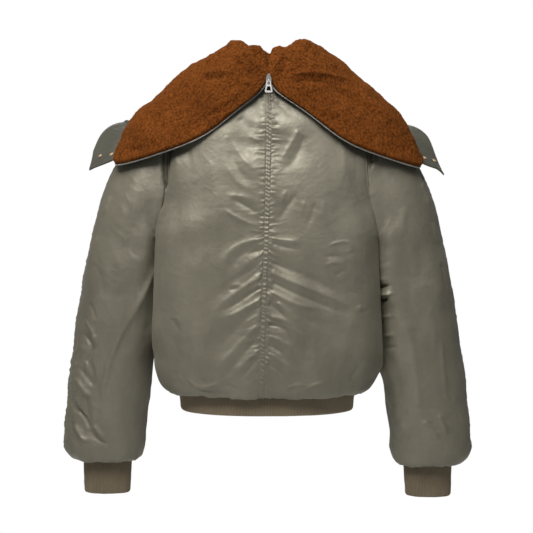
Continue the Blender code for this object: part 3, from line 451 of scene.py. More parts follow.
# ------------------------------------------------------------------ folds
def stroke(q, points, width, rise, head, tail, lean=0.0, flare=0.0):
    """one fold on points q, in metres: a ridge (rise > 0) or trough along a smooth line through the given points.
    head and tail are the shares of its length over which it grows and dies away; lean makes one flank steeper, and
    flare widens it towards its end. Its crest is narrow and its feet run out wide, as a pinched fold's do"""
    out = np.zeros(q.shape[:-1])
    if rise == 0:
        return out
    pts = np.array(points, float) / 1000
    if len(pts) > 2:
        at = np.concatenate([[0], np.cumsum(np.linalg.norm(np.diff(pts, axis=0), axis=1))])
        pts = spline(at, pts, np.linspace(0, at[-1], 6 * len(pts)))
    w, r = width / 1000, rise / 1000
    near = ((q > pts.min(0) - 5 * w) & (q < pts.max(0) + 5 * w)).all(-1)
    p = q[near]
    if not len(p):
        return out
    d = np.diff(pts, axis=0)
    L = np.linalg.norm(d, axis=1)
    cum = np.concatenate([[0], np.cumsum(L)])
    best, along, side = np.full(len(p), 1e9), np.zeros(len(p)), np.zeros(len(p))
    for a, e, l, c in zip(pts[:-1], d, L, cum):
        t = np.clip(((p - a) @ e) / (l * l), 0, 1)
        off = p - a - t[:, None] * e
        far = np.hypot(off[:, 0], off[:, 1])
        pick = far < best
        best[pick] = far[pick]
        along[pick] = (c + t[pick] * l) / cum[-1]
        side[pick] = np.sign(e[0] * off[pick, 1] - e[1] * off[pick, 0])
    taper = np.ones(len(p))
    if head > 0:
        taper *= smooth(along / head)
    if tail > 0:
        taper *= smooth((1 - along) / tail)
    w = w * (1 + lean * side) * (1 + flare * along) * 0.92
    shape = 1 / (1 + (best / w) ** 2) ** 1.5
    out[near] = r * np.clip(shape - 0.012, 0, 1) * taper * smooth((5 * width / 1000 - best) / (2 * width / 1000))
    return out


def folds(q, table, scale=1.0, long_tail=0.0, slim=1.0, spread=0.0):
    """a table of strokes; slim narrows them all, and spread widens each towards its end"""
    out = np.zeros(q.shape[:-1])
    for points, width, rise, head, tail, *rest in table:
        lean, flare = (list(rest) + [0.0, 0.0])[:2]
        out += stroke(q, points, width * slim, rise, head, max(tail, long_tail), lean, max(flare, spread))
    return out * scale


def fan(out, z, angle, seed):
    """fullness that runs from a gathered seam in crests side by side: out is the distance from the seam"""
    u, h = out * 1000, z * 1000
    s = h - np.tan(np.radians(angle(h + 0.4 * u))) * u * 0.85
    zero = np.zeros_like(s)

    def crests(p):
        return 0.55 - 2.6 * np.sqrt(noise(p) ** 2 + 0.0016)

    sway = 0.35 * noise(np.stack([s / 30.0, u / 30.0, zero + seed + 3], -1))
    wide = crests(np.stack([s / 17.0 + sway, u / 95.0, zero + seed], -1))
    fine = crests(np.stack([s / 9.0 + sway, u / 45.0, zero + seed + 7.3], -1))
    low = smooth((-h - 235.0) / 90.0)
    return 1e-3 * ((0.6 + 0.6 * low) * wide * np.exp(-(u / 62.0) ** 1.5) + (1.15 + 0.35 * low) * fine * np.exp(-(u / (16.0 + 12.0 * low)) ** 1.4))


def spread_folds(seed, at, length, angle, width, rise, start=0.0):
    """a run of gathers: one short fold at each place of at, as a table for folds().
    The other columns are functions of the place, in millimetres and degrees; each fold differs a little"""
    rng = np.random.default_rng(seed)
    table = []
    for x in at:
        for sign in (1, -1):
            y = x + (0 if sign > 0 else 0.5 * width(x) * rng.uniform(1.6, 2.4))
            l = length(y) * rng.uniform(0.6, 1.3)
            a = radians(angle(y) + rng.uniform(-8, 8))
            w = width(y) * rng.uniform(0.8, 1.2)
            bend = rng.uniform(-0.12, 0.12)
            p0 = np.array([start, y])
            step = np.array([cos(a), sin(a)]) * l
            mid = p0 + step * 0.5 + np.array([-step[1], step[0]]) * bend
            table.append(([tuple(p0), tuple(mid), tuple(p0 + step)], w, sign * rise(y) * rng.uniform(0.6, 1.25) * (1 if sign > 0 else 0.8), 0.0, 0.85, 0.0, 0.9))
    return table


BACK_FOLDS = [
    ([(-176, -390), (-170, -470), (-158, -545)], 21, -5.5, 0.3, 0.3, 0),
    ([(-140, -400), (-132, -480), (-118, -560)], 16, 2.6, 0.3, 0.3, 0),
    ([(150, -420), (142, -480), (128, -550)], 18, 4.0, 0.3, 0.3, 0),
    ([(66, -330), (92, -400), (104, -470), (100, -540)], 20, -3.2, 0.3, 0.3, 0),
    ([(-100, -300), (-118, -350), (-122, -400)], 18, 2.2, 0.3, 0.3, 0),
    ([(-150, -548), (-118, -570), (-88, -563), (-60, -572)], 4.5, 3.4, 0.15, 0.2, 0),
    ([(-128, -575), (-92, -578), (-56, -584)], 4.5, -3.0, 0.2, 0.2, 0),
    ([(44, -582), (66, -570), (92, -560), (120, -562)], 4.0, 3.0, 0.15, 0.2, 0),
    ([(150, -560), (158, -545), (170, -520)], 5, -2.6, 0.2, 0.3, 0),
    ([(-52, -78), (-33, -96), (-13, -106)], 12, -2.6, 0.15, 0.35, 0),
    ([(-23, -43), (-5, -48)], 6, 2.0, 0.3, 0.3, 0),
    ([(-36, -110), (-20, -119), (-5, -125)], 5, 1.6, 0.3, 0.2, 0),
    ([(15, -48), (31, -61), (55, -87)], 9, -2.6, 0.2, 0.4, 0),
    ([(9, -32), (22, -41)], 5, 1.6, 0.3, 0.3, 0),
    ([(58, -100), (42, -130), (17, -168)], 8, 2.9, 0.1, 0.3, 0.2),
    ([(70, -108), (58, -139), (35, -171), (9, -184)], 9, -2.9, 0.15, 0.2, 0),
    ([(-69, -132), (-56, -166), (-34, -192), (-7, -199)], 11, -2.6, 0.25, 0.15, 0),
    ([(-65, -117), (-34, -163), (-5, -183)], 7, 2.2, 0.3, 0.2, 0),
    ([(-74, -161), (-49, -199), (-20, -214)], 8, 2.2, 0.3, 0.3, 0),
    ([(-65, -226), (-38, -239), (-9, -257)], 7, -3.2, 0.2, 0.2, 0),
    ([(-83, -241), (-49, -263), (-9, -277)], 5.5, 2.8, 0.3, 0.15, 0),
    ([(-78, -219), (-38, -225), (-11, -236)], 6, 2.0, 0.3, 0.2, 0),
    ([(55, -216), (38, -239), (17, -270)], 7, -3.0, 0.2, 0.2, 0),
    ([(37, -208), (22, -241)], 5.5, 2.0, 0.3, 0.3, 0),
    ([(87, -230), (80, -257), (69, -288)], 6.5, -2.6, 0.25, 0.3, 0),
    ([(67, -225), (62, -265)], 7, 1.7, 0.3, 0.3, 0),
    ([(104, -226), (96, -272)], 8, 1.4, 0.3, 0.3, 0),
    ([(6, -297), (33, -301), (69, -306)], 4.5, 2.4, 0.1, 0.35, 0),
    ([(6, -306), (38, -314), (71, -319)], 5, -2.0, 0.1, 0.35, 0),
    ([(107, -314), (127, -305), (145, -308), (145, -319), (125, -321)], 3.6, 1.9, 0.2, 0.3, 0),
    ([(100, -332), (122, -330), (138, -335)], 5, -1.8, 0.3, 0.3, 0),
    ([(98, -352), (120, -341), (142, -350)], 5, 1.7, 0.3, 0.3, 0),
    ([(120, -366), (138, -355)], 4, -1.3, 0.3, 0.3, 0),
    ([(-7, -299), (-42, -306), (-74, -330), (-92, -368)], 9, 3.2, 0.1, 0.3, 0.25),
    ([(-9, -319), (-42, -326), (-65, -350), (-80, -384)], 11, -3.2, 0.1, 0.3, 0),
    ([(-7, -364), (-43, -386), (-82, -415), (-107, -437)], 7.5, 3.9, 0.06, 0.35, 0.3),
    ([(-9, -344), (-49, -366), (-92, -403), (-112, -426)], 10, -2.8, 0.1, 0.3, 0),
    ([(-9, -383), (-38, -403), (-71, -424), (-92, -435)], 5, -3.2, 0.08, 0.3, 0),
    ([(-7, -404), (-34, -419), (-63, -435), (-94, -444)], 5.5, 3.6, 0.06, 0.3, 0.2),
    ([(-71, -390), (-47, -386)], 3, -2.0, 0.3, 0.3, 0),
    ([(-67, -383), (-43, -379)], 3, 1.4, 0.3, 0.3, 0),
    ([(-9, -417), (-38, -441), (-67, -473), (-98, -508)], 10, -3.8, 0.08, 0.3, 0),
    ([(-14, -448), (-42, -479), (-74, -515), (-111, -570)], 8.5, 3.6, 0.1, 0.2, 0.25),
    ([(-82, -417), (-103, -464), (-114, -504)], 12, 2.0, 0.3, 0.3, 0),
    ([(-13, -472), (-38, -501), (-71, -541), (-91, -570)], 6.5, -3.2, 0.1, 0.2, 0),
    ([(-16, -499), (-42, -524), (-65, -557)], 6, 2.6, 0.1, 0.3, 0),
    ([(-16, -515), (-38, -539), (-52, -564)], 5, -2.4, 0.1, 0.3, 0),
    ([(4, -357), (42, -375), (96, -397), (142, -419), (164, -430)], 7.5, 4.2, 0.05, 0.2, 0.3),
    ([(7, -339), (46, -355), (93, -377), (145, -403)], 10, -2.8, 0.1, 0.3, 0),
    ([(6, -374), (42, -392), (89, -412), (144, -435), (162, -441)], 6.5, -3.6, 0.06, 0.2, 0),
    ([(160, -419), (167, -433)], 4, 2.4, 0.3, 0.3, 0),
    ([(6, -392), (42, -412), (69, -421), (104, -421)], 5.5, 3.6, 0.06, 0.3, 0.2),
    ([(2, -412), (24, -430), (38, -452)], 5, -3.8, 0.1, 0.25, 0),
    ([(15, -410), (37, -432), (44, -459)], 5.5, 2.9, 0.15, 0.3, 0),
    ([(0, -452), (24, -455), (42, -481), (51, -506)], 6, -4.0, 0.1, 0.25, 0),
    ([(2, -439), (29, -444), (53, -472), (66, -499)], 6.5, 3.0, 0.1, 0.3, 0),
    ([(44, -466), (55, -492)], 7, 1.8, 0.3, 0.3, 0),
    ([(0, -473), (24, -481), (42, -502), (60, -533)], 5.5, 2.8, 0.08, 0.3, 0),
    ([(0, -488), (24, -501), (44, -530)], 4.8, -2.6, 0.08, 0.3, 0),
    ([(0, -504), (26, -519), (53, -551)], 5.5, 2.4, 0.08, 0.3, 0),
    ([(0, -522), (26, -539), (42, -555)], 4.2, -2.2, 0.08, 0.3, 0),
    ([(60, -504), (82, -512), (75, -541)], 9, 1.5, 0.3, 0.3, 0),
    ([(-5, -532), (-27, -564)], 5, 2.2, 0.1, 0.3, 0),
    ([(-114, -570), (-82, -555), (-49, -541)], 4.5, 2.4, 0.2, 0.3, 0),
    ([(-83, -562), (-60, -566), (-36, -581)], 4.5, -2.8, 0.2, 0.3, 0),
    ([(-125, -551), (-107, -566)], 5, -2.0, 0.2, 0.3, 0),
    ([(31, -571), (56, -562), (82, -566)], 4, 2.2, 0.2, 0.3, 0),
    ([(53, -575), (71, -566), (84, -562)], 3.5, -2.2, 0.2, 0.3, 0),
    ([(-163, -544), (-156, -559), (-147, -568)], 4, 2.2, 0.2, 0.3, 0),
    ([(-172, -541), (-163, -555)], 4, -1.8, 0.2, 0.3, 0),
    ([(-169, -443), (-161, -457), (-151, -475)], 4.5, -2.4, 0.2, 0.3, 0),
    ([(-161, -439), (-151, -457)], 5, 1.6, 0.2, 0.3, 0),
    ([(-174, -475), (-161, -504), (-165, -533)], 8, -1.6, 0.3, 0.3, 0),
    ([(-143, -482), (-136, -522), (-143, -562)], 11, 1.6, 0.3, 0.3, 0),
    ([(60, -439), (93, -450), (136, -464)], 12, -1.5, 0.3, 0.3, 0),
    ([(115, -482), (140, -512), (144, -555)], 14, 1.4, 0.3, 0.3, 0),
    ([(-149, -123), (-140, -165), (-147, -210)], 9, -1.7, 0.2, 0.4, 0),
    ([(-165, -137), (-158, -201), (-165, -274)], 8, 1.6, 0.2, 0.4, 0),
    ([(-112, -137), (-96, -192), (-103, -255)], 14, 1.4, 0.3, 0.3, 0),
    ([(155, -119), (162, -165), (151, -228)], 9, -1.7, 0.2, 0.4, 0),
    ([(135, -108), (140, -165), (129, -210)], 9, 1.8, 0.2, 0.4, 0),
    ([(173, -137), (184, -228), (187, -337)], 6, 1.4, 0.2, 0.3, 0),
]
LEFT_FOLDS = [
    ([(-207, -315), (-230, -381), (-252, -432), (-281, -492), (-299, -541), (-312, -601), (-325, -655)], 8, 4.4, 0.15, 0.2, 0.35),
    ([(-212, -341), (-220, -410), (-234, -473), (-249, -537)], 16, -2.4, 0.2, 0.3, 0),
    ([(-243, -157), (-250, -174), (-265, -197), (-287, -214)], 0, 0, 0, 0, 0),
    ([(-290, -219), (-296, -239), (-303, -257)], 4, 1.8, 0.2, 0.3, 0),
    ([(-312, -294), (-321, -312), (-329, -341)], 4, 1.5, 0.2, 0.3, 0),
    ([(-332, -419), (-321, -437), (-318, -453)], 4, -1.5, 0.2, 0.3, 0),
    ([(-341, -450), (-325, -475), (-318, -501)], 4, 2.3, 0.2, 0.3, 0),
    ([(-345, -477), (-329, -501), (-334, -522), (-348, -541)], 5, -3.2, 0.2, 0.2, 0),
    ([(-318, -504), (-321, -541), (-314, -570)], 3.5, 2.2, 0.2, 0.3, 0),
    ([(-356, -540), (-338, -560), (-322, -580)], 7, -2.4, 0.2, 0.2, 0),
    ([(-362, -560), (-344, -584), (-326, -606)], 7, 2.6, 0.2, 0.2, 0),
    ([(-362, -596), (-350, -622), (-338, -640)], 6, 2.4, 0.2, 0.2, 0),
    ([(-336, -591), (-339, -624), (-329, -646)], 5, -2.2, 0.2, 0.3, 0),
    ([(-361, -620), (-347, -635), (-332, -664)], 5, -3.0, 0.2, 0.3, 0),
    ([(-365, -650), (-354, -675), (-336, -693)], 5, 2.4, 0.2, 0.3, 0),
    ([(-339, -657), (-318, -686), (-296, -700)], 5, -2.2, 0.2, 0.2, 0),
    ([(-329, -650), (-307, -686)], 5, 2.0, 0.2, 0.3, 0),
    ([(-309, -577), (-316, -628), (-321, -675)], 6, -1.6, 0.2, 0.2, 0),
    ([(-225, -519), (-220, -555), (-225, -591)], 4, 1.4, 0.3, 0.3, 0),
    ([(-230, -582), (-225, -628), (-232, -682)], 7, 1.4, 0.3, 0.3, 0),
    ([(-285, -319), (-270, -355), (-281, -410)], 16, 1.5, 0.3, 0.3, 0),
    ([(-256, -255), (-241, -301), (-252, -341)], 15, -1.4, 0.3, 0.3, 0),
    ([(-325, -341), (-307, -377), (-303, -410)], 10, -1.4, 0.3, 0.3, 0),
]
RIGHT_FOLDS = [
    ([(191, -237), (205, -286), (224, -341), (236, -395), (253, -443), (267, -482), (276, -528), (282, -582), (291, -631), (302, -675)], 14, 3.6, 0.12, 0.15, 0),
    ([(204, -410), (222, -464), (240, -533), (252, -610), (262, -670)], 17, -4.0, 0.2, 0.3, 0),
    ([(238, -410), (264, -464)], 9, -1.4, 0.3, 0.3, 0),
    ([(194, -310), (213, -306)], 3, 1.5, 0.2, 0.3, 0),
    ([(194, -332), (214, -330)], 3.2, 1.9, 0.2, 0.3, 0),
    ([(194, -343), (216, -343)], 3.2, -1.6, 0.2, 0.3, 0),
    ([(194, -355), (213, -357)], 3.2, 1.7, 0.2, 0.3, 0),
    ([(196, -372), (224, -375), (236, -368)], 4, 1.6, 0.2, 0.3, 0),
    ([(202, -388), (217, -391), (241, -381)], 4.5, -4.2, 0.10, 0.3, 0),
    ([(204, -403), (224, -402), (246, -399)], 3.8, 5.2, 0.08, 0.3, 0.3),
    ([(206, -415), (221, -415), (239, -408)], 3.6, -4.8, 0.10, 0.3, 0),
    ([(198, -424), (213, -426)], 2.8, 2.4, 0.15, 0.3, 0),
    ([(200, -433), (216, -435)], 3.2, -2.2, 0.2, 0.3, 0),
    ([(204, -450), (227, -446), (245, -439)], 4, 1.8, 0.2, 0.3, 0),
    ([(205, -470), (227, -472)], 4, -1.8, 0.2, 0.3, 0),
    ([(207, -493), (227, -484), (247, -475)], 4, 2.2, 0.2, 0.3, 0),
    ([(211, -512), (234, -504), (253, -501)], 5, -1.6, 0.2, 0.3, 0),
    ([(273, -170), (283, -188), (293, -210)], 4, 2.0, 0.2, 0.3, 0),
    ([(280, -166), (293, -196)], 3.4, -2.2, 0.2, 0.3, 0),
    ([(285, -196), (296, -221), (302, -243)], 4, 2.0, 0.2, 0.3, 0),
    ([(309, -268), (314, -290), (322, -312)], 4, 1.6, 0.2, 0.3, 0),
    ([(322, -341), (331, -377), (336, -410)], 4, -1.2, 0.2, 0.3, 0),
    ([(260, -237), (249, -268), (256, -301)], 14, 1.6, 0.3, 0.3, 0),
    ([(274, -301), (285, -341), (278, -392)], 14, -1.5, 0.3, 0.3, 0),
    ([(296, -410), (311, -464), (314, -519)], 12, 1.3, 0.3, 0.3, 0),
    ([(325, -482), (329, -537), (336, -591)], 6, 1.4, 0.3, 0.3, 0),
    ([(293, -642), (314, -664), (325, -686)], 5, 2.0, 0.2, 0.3, 0),
    ([(307, -642), (325, -668)], 4, -1.8, 0.2, 0.3, 0),
    ([(322, -628), (343, -675)], 5, 1.8, 0.2, 0.3, 0),
    ([(249, -646), (264, -679), (260, -697)], 6, 1.4, 0.2, 0.3, 0),
    ([(231, -610), (238, -657), (245, -693)], 6, -1.4, 0.2, 0.3, 0),
]
HOOD_FOLDS = [
    ([(-34, 46), (-17, 45), (-6, 40)], 9, 4.6, 0.25, 0.25, 0),
    ([(6, 40), (18, 45), (36, 47)], 9, 4.2, 0.25, 0.25, 0),
    ([(-123, -1), (-94, 4), (-65, 4)], 5, 2.6, 0.3, 0.3, 0),
    ([(-127, -12), (-94, -8), (-63, -10)], 7, -2.4, 0.3, 0.3, 0),
    ([(-74, 51), (-54, 55), (-38, 48)], 13, 4.0, 0.3, 0.3, 0),
    ([(-49, 44), (-31, 28), (-16, 13), (-2, -3)], 7, 4.0, 0.15, 0.15, 0),
    ([(-78, 35), (-52, 19), (-31, -3), (-14, -25)], 9, -3.2, 0.2, 0.2, 0),
    ([(-260, -108), (-227, -76), (-194, -48), (-156, -18)], 9, 2.8, 0.2, 0.3, 0),
    ([(-220, -99), (-183, -68), (-136, -39)], 9, -2.8, 0.2, 0.3, 0),
    ([(-105, -68), (-74, -50), (-38, -32)], 9, 2.4, 0.3, 0.3, 0),
    ([(-158, -101), (-121, -85), (-74, -65)], 8, -2.2, 0.3, 0.3, 0),
    ([(-212, -121), (-176, -103), (-143, -79)], 10, 2.0, 0.3, 0.3, 0),
    ([(-270, -127), (-241, -137), (-212, -132)], 8, -1.8, 0.3, 0.3, 0),
    ([(38, -5), (75, 1), (107, -1), (147, -7), (175, -8)], 5, 3.0, 0.25, 0.2, 0),
    ([(35, -18), (78, -14), (133, -19)], 8, -2.8, 0.25, 0.3, 0),
    ([(46, 50), (64, 55), (80, 48)], 12, 4.0, 0.3, 0.3, 0),
    ([(69, 48), (93, 33), (122, 21)], 9, -2.2, 0.2, 0.3, 0),
    ([(29, 41), (20, 22), (9, 1)], 6, 2.8, 0.2, 0.2, 0),
    ([(42, 33), (31, 11), (18, -10)], 8, -2.6, 0.2, 0.2, 0),
    ([(167, -38), (205, -61), (236, -87), (256, -108)], 9, 3.2, 0.2, 0.3, 0),
    ([(104, -19), (160, -48), (198, -81), (220, -108)], 9, -2.8, 0.2, 0.3, 0),
    ([(82, -47), (118, -68), (155, -94)], 10, 2.0, 0.3, 0.3, 0),
    ([(60, -43), (86, -68), (125, -90)], 8, -1.8, 0.3, 0.3, 0),
    ([(2, 39), (2, 22), (3, 1)], 4, -4.5, 0, 0.2, 0),
    ([(227, -123), (249, -137), (271, -137)], 8, -1.8, 0.3, 0.3, 0),
]


# ------------------------------------------------------------------ meshes
def lengths(P, axis):
    """distance along a grid of points, from its first row (axis 0) or column (axis 1)"""
    step = np.linalg.norm(np.diff(P, axis=axis), axis=-1)
    pad = [(0, 0), (0, 0)]
    pad[axis] = (1, 0)
    return np.pad(np.cumsum(step, axis=axis), pad)


def border(P, first=True, last=True, axis=1):
    """distance of each grid point from the first or last column (axis 1) or row (axis 0)"""
    a = lengths(P, axis)
    end = np.take(a, [-1], axis=axis)
    far = np.full(P.shape[:2], 1e3)
    if first:
        far = np.minimum(far, a)
    if last:
        far = np.minimum(far, end - a)
    return far


def grid_normals(P, closed=False, like=None):
    """unit normals of a grid, pointing to the same side as like"""
    if closed:
        du = np.roll(P, -1, 1) - np.roll(P, 1, 1)
    else:
        du = np.gradient(P, axis=1)
    n = unit(np.cross(du, np.gradient(P, axis=0)))
    if like is not None:
        n = np.where(np.sum(n * like, -1, keepdims=True) < 0, -n, n)
    return n


def low_of(d, k, closed):
    """least displacement round every k-th grid point"""
    pad = np.pad(d, ((k, k), (0, 0)), mode="edge")
    pad = np.concatenate([pad[:, -k:], pad, pad[:, :k]], 1) if closed else np.pad(pad, ((0, 0), (k, k)), mode="edge")
    ni, nj = d.shape
    I, J = np.arange(0, ni, k), np.arange(0, nj, k)
    out = np.full((len(I), len(J)), 1e9)
    for a in range(-k, k + 1):
        for b in range(-k, k + 1):
            out = np.minimum(out, pad[np.ix_(I + k + a, J + k + b)])
    return out


def mesh_object(name, verts, faces, uv=None, attributes=None):
    mesh = bpy.data.meshes.new(name)
    mesh.from_pydata(verts.tolist(), [], faces)
    mesh.validate()
    bm = bmesh.new()
    bm.from_mesh(mesh)
    bmesh.ops.recalc_face_normals(bm, faces=bm.faces)
    if bm.calc_volume(signed=True) < 0:
        bmesh.ops.reverse_faces(bm, faces=bm.faces)
    bm.to_mesh(mesh)
    bm.free()
    if uv is not None:
        layer = mesh.uv_layers.new(name="cloth")
        index = np.empty(len(mesh.loops), np.int32)
        mesh.loops.foreach_get("vertex_index", index)
        layer.data.foreach_set("uv", uv[index].astype(np.float32).ravel())
    for key, values in (attributes or {}).items():
        mesh.attributes.new(key, "FLOAT", "POINT").data.foreach_set("value", values.astype(np.float32))
    mesh.shade_smooth()
    ob = bpy.data.objects.new(name, mesh)
    bpy.context.scene.collection.objects.link(ob)
    return ob


def wall(name, P, N, d, thick, uv, k=4, closed=False, attributes=None, move=None, sharp=60):
    """closed piece of cloth: the fine face P + N d, a plain inner face on every k-th point, and the strips between"""
    ni, nj = P.shape[:2]
    outer = P + N * d[..., None]
    I, J = np.arange(0, ni, k), np.arange(0, nj, k)
    low = low_of(d, k, closed)
    edge = d[np.ix_(I, J)]
    rim = np.zeros(low.shape, bool)
    rim[[0, -1]] = True
    if not closed:
        rim[:, [0, -1]] = True
    low = np.where(rim, edge, low)
    inner = P[np.ix_(I, J)] + N[np.ix_(I, J)] * (low - thick)[..., None]
    if move is not None:
        outer, inner = move(outer), move(inner)
    verts = np.concatenate([outer.reshape(-1, 3), inner.reshape(-1, 3)])
    base, mi, mj = ni * nj, len(I), len(J)
    jj = nj if closed else nj - 1
    a, b = np.meshgrid(np.arange(ni - 1), np.arange(jj), indexing="ij")
    b2 = (b + 1) % nj
    quads = np.stack([a * nj + b, a * nj + b2, (a + 1) * nj + b2, (a + 1) * nj + b], -1).reshape(-1, 4)
    jj2 = mj if closed else mj - 1
    a, b = np.meshgrid(np.arange(mi - 1), np.arange(jj2), indexing="ij")
    b2 = (b + 1) % mj
    back = np.stack([base + a * mj + b, base + (a + 1) * mj + b, base + (a + 1) * mj + b2, base + a * mj + b2], -1).reshape(-1, 4)
    faces = quads.tolist() + back.tolist()

    def strip(fine, coarse, loop):
        n = len(coarse) if loop else len(coarse) - 1
        for c in range(n):
            u, v = coarse[c], coarse[(c + 1) % len(coarse)]
            f = [fine[(c * k + e) % len(fine)] for e in range(k + 1)]
            h = k // 2
            for e in range(h):
                faces.append([f[e], u, f[e + 1]])
            faces.append([f[h], u, v])
            for e in range(h, k):
                faces.append([f[e], v, f[e + 1]])

    for row, crow in ((0, 0), (ni - 1, mi - 1)):
        strip([row * nj + j for j in range(nj)], [base + crow * mj + j for j in range(mj)], closed)
    if not closed:
        for col, ccol in ((0, 0), (nj - 1, mj - 1)):
            strip([i * nj + col for i in range(ni)], [base + i * mj + ccol for i in range(mi)], False)
    full_uv = np.concatenate([uv.reshape(-1, 2), uv[np.ix_(I, J)].reshape(-1, 2)])
    full = {}
    for key, values in (attributes or {}).items():
        full[key] = np.concatenate([values.ravel(), values[np.ix_(I, J)].ravel()])
    ob = mesh_object(name, verts, faces, full_uv, full)
    if sharp:
        ob.data.set_sharp_from_angle(angle=radians(sharp))
    return ob, outer


def fit(n, k=4, closed=False):
    """nearest count of points that every k-th point fits"""
    return max(2 * k, int(round(n / k)) * k) + (0 if closed else 1)


def spaced(f, lo, hi, step, k=4, n=600):
    """parameters lo..hi whose points on the curve f are step apart"""
    t = np.linspace(lo, hi, n)
    p = f(t)
    at = np.concatenate([[0], np.cumsum(np.linalg.norm(np.diff(p, axis=0), axis=1))])
    m = fit(at[-1] / step, k)
    return np.interp(np.linspace(0, at[-1], m), at, t)


def flip_of(side):
    return np.array([-1.0 if side == "left" else 1.0, 1, 1])


PIECES = {}


def done(ob, slot, *nodes, body="garment", mat=None):
    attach(ob, body)
    if nodes:
        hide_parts(*nodes)
    ob.data.materials.clear()
    ob.data.materials.append(mat)
    PIECES[ob.name] = ob
    return ob


def xz(p):
    return p[..., [0, 2]]


# ------------------------------------------------------------------ stitches
def threads(name, lines, long=0.0026, gap=0.0009, fat=0.00032, mat=None, slot="nylon"):
    """rows of stitches: each line is (points, normals); every stitch is a little spindle of thread"""
    verts, faces = [], []
    for pts, nor in lines:
        at = np.concatenate([[0], np.cumsum(np.linalg.norm(np.diff(pts, axis=0), axis=1))])
        count = int((at[-1] - 0.002) / (long + gap))
        if count < 1:
            continue
        start = 0.001 + np.arange(count) * (at[-1] - 0.002) / count
        ends = [np.stack([np.interp(start + e, at, pts[:, c]) for c in range(3)], 1) for e in (0, long * 0.5, long)]
        nn = unit(np.stack([np.interp(start + long / 2, at, nor[:, c]) for c in range(3)], 1))
        along = unit(ends[2] - ends[0])
        cross = unit(np.cross(nn, along))
        nn = np.cross(along, cross)
        mid = ends[1] + nn * fat * 0.6
        for i in range(count):
            b = len(verts)
            verts += [ends[0][i] - nn[i] * fat * 0.3, mid[i] + nn[i] * fat, mid[i] + cross[i] * fat, mid[i] - nn[i] * fat * 1.2, mid[i] - cross[i] * fat, ends[2][i] - nn[i] * fat * 0.3]
            for e in range(4):
                faces.append([b, b + 1 + e, b + 1 + (e + 1) % 4])
                faces.append([b + 5, b + 1 + (e + 1) % 4, b + 1 + e])
    ob = mesh_object(name, np.array(verts), faces)
    return done(ob, slot, mat=mat)


# ------------------------------------------------------------------ finishes
class Shade:
    """a Principled material with a few helpers for its nodes"""

    def __init__(self, name, colour, rough, metal=0.0, **fixed):
        self.mat = bpy.data.materials.new(name)
        self.mat.use_nodes = True
        self.tree = self.mat.node_tree
        self.bsdf = self.tree.nodes["Principled BSDF"]
        self.set(**{"Base Color": (*colour, 1), "Roughness": rough, "Metallic": metal})
        self.set(**fixed)
        self.mat.diffuse_color = (*colour, 1)

    def set(self, **values):
        for key, value in values.items():
            self.bsdf.inputs[key.replace("_", " ")].default_value = value

    def node(self, kind, links=None, **values):
        n = self.tree.nodes.new(kind)
        for key, value in values.items():
            if hasattr(n, key):
                setattr(n, key, value)
            else:
                n.inputs[key.replace("_", " ")].default_value = value
        for key, socket in (links or {}).items():
            self.tree.links.new(socket, n.inputs[key])
        return n

    def link(self, socket, name):
        self.tree.links.new(socket, self.bsdf.inputs[name])

    def coordinates(self, uv=False):
        n = self.tree.nodes.new("ShaderNodeUVMap" if uv else "ShaderNodeTexCoord")
        if uv:
            n.uv_map = "cloth"
            return n.outputs["UV"]
        return n.outputs["Object"]

    def noise(self, where, scale, detail=3.0, rough=0.55, distortion=0.0):
        n = self.node("ShaderNodeTexNoise", {"Vector": where}, Scale=scale, Detail=detail, Distortion=distortion)
        n.inputs["Roughness"].default_value = rough
        return n.outputs["Fac"]

    def math(self, op, a, b=None, clamp=False):
        n = self.tree.nodes.new("ShaderNodeMath")
        n.operation = op
        n.use_clamp = clamp
        for i, x in enumerate((a, b)):
            if x is None:
                continue
            if isinstance(x, (int, float)):
                n.inputs[i].default_value = x
            else:
                self.tree.links.new(x, n.inputs[i])
        return n.outputs[0]

    def ramp(self, fac, *stops):
        n = self.tree.nodes.new("ShaderNodeValToRGB")
        self.tree.links.new(fac, n.inputs["Fac"])
        el = n.color_ramp.elements
        while len(el) < len(stops):
            el.new(0.5)
        for e, (at, colour) in zip(el, stops):
            e.position = at
            e.color = (*colour, 1)
        return n.outputs["Color"]

    def spread(self, fac, lo, hi):
        n = self.node("ShaderNodeMapRange", {"Value": fac})
        n.inputs["From Min"].default_value, n.inputs["From Max"].default_value = 0.3, 0.7
        n.inputs["To Min"].default_value, n.inputs["To Max"].default_value = lo, hi
        return n.outputs["Result"]

    def attribute(self, name):
        n = self.tree.nodes.new("ShaderNodeAttribute")
        n.attribute_name = name
        return n.outputs["Fac"]

    def bump(self, height, distance, strength=1.0, under=None):
        n = self.node("ShaderNodeBump", {"Height": height}, Strength=strength, Distance=distance)
        if under is not None:
            self.tree.links.new(under, n.inputs["Normal"])
        return n.outputs["Normal"]

    def weave(self, uv, pitch, distance, strength, under=None, twill=False):
        """two sets of threads, pitch apart, crossing over and under"""
        scale = 1.0 / pitch
        sep = self.node("ShaderNodeSeparateXYZ", {"Vector": uv})
        u = self.math("MULTIPLY", sep.outputs["X"], scale * 2 * pi)
        v = self.math("MULTIPLY", sep.outputs["Y"], scale * 2 * pi)
        if twill:
            a = self.math("SINE", self.math("ADD", u, v))
            b = self.math("SINE", self.math("MULTIPLY", v, 2.0))
            h = self.math("ADD", a, self.math("MULTIPLY", b, 0.25))
        else:
            h = self.math("MULTIPLY", self.math("SINE", u), self.math("SINE", v))
        return self.bump(h, distance, strength, under)


def tinted(colour, k):
    return tuple(c * k for c in colour)


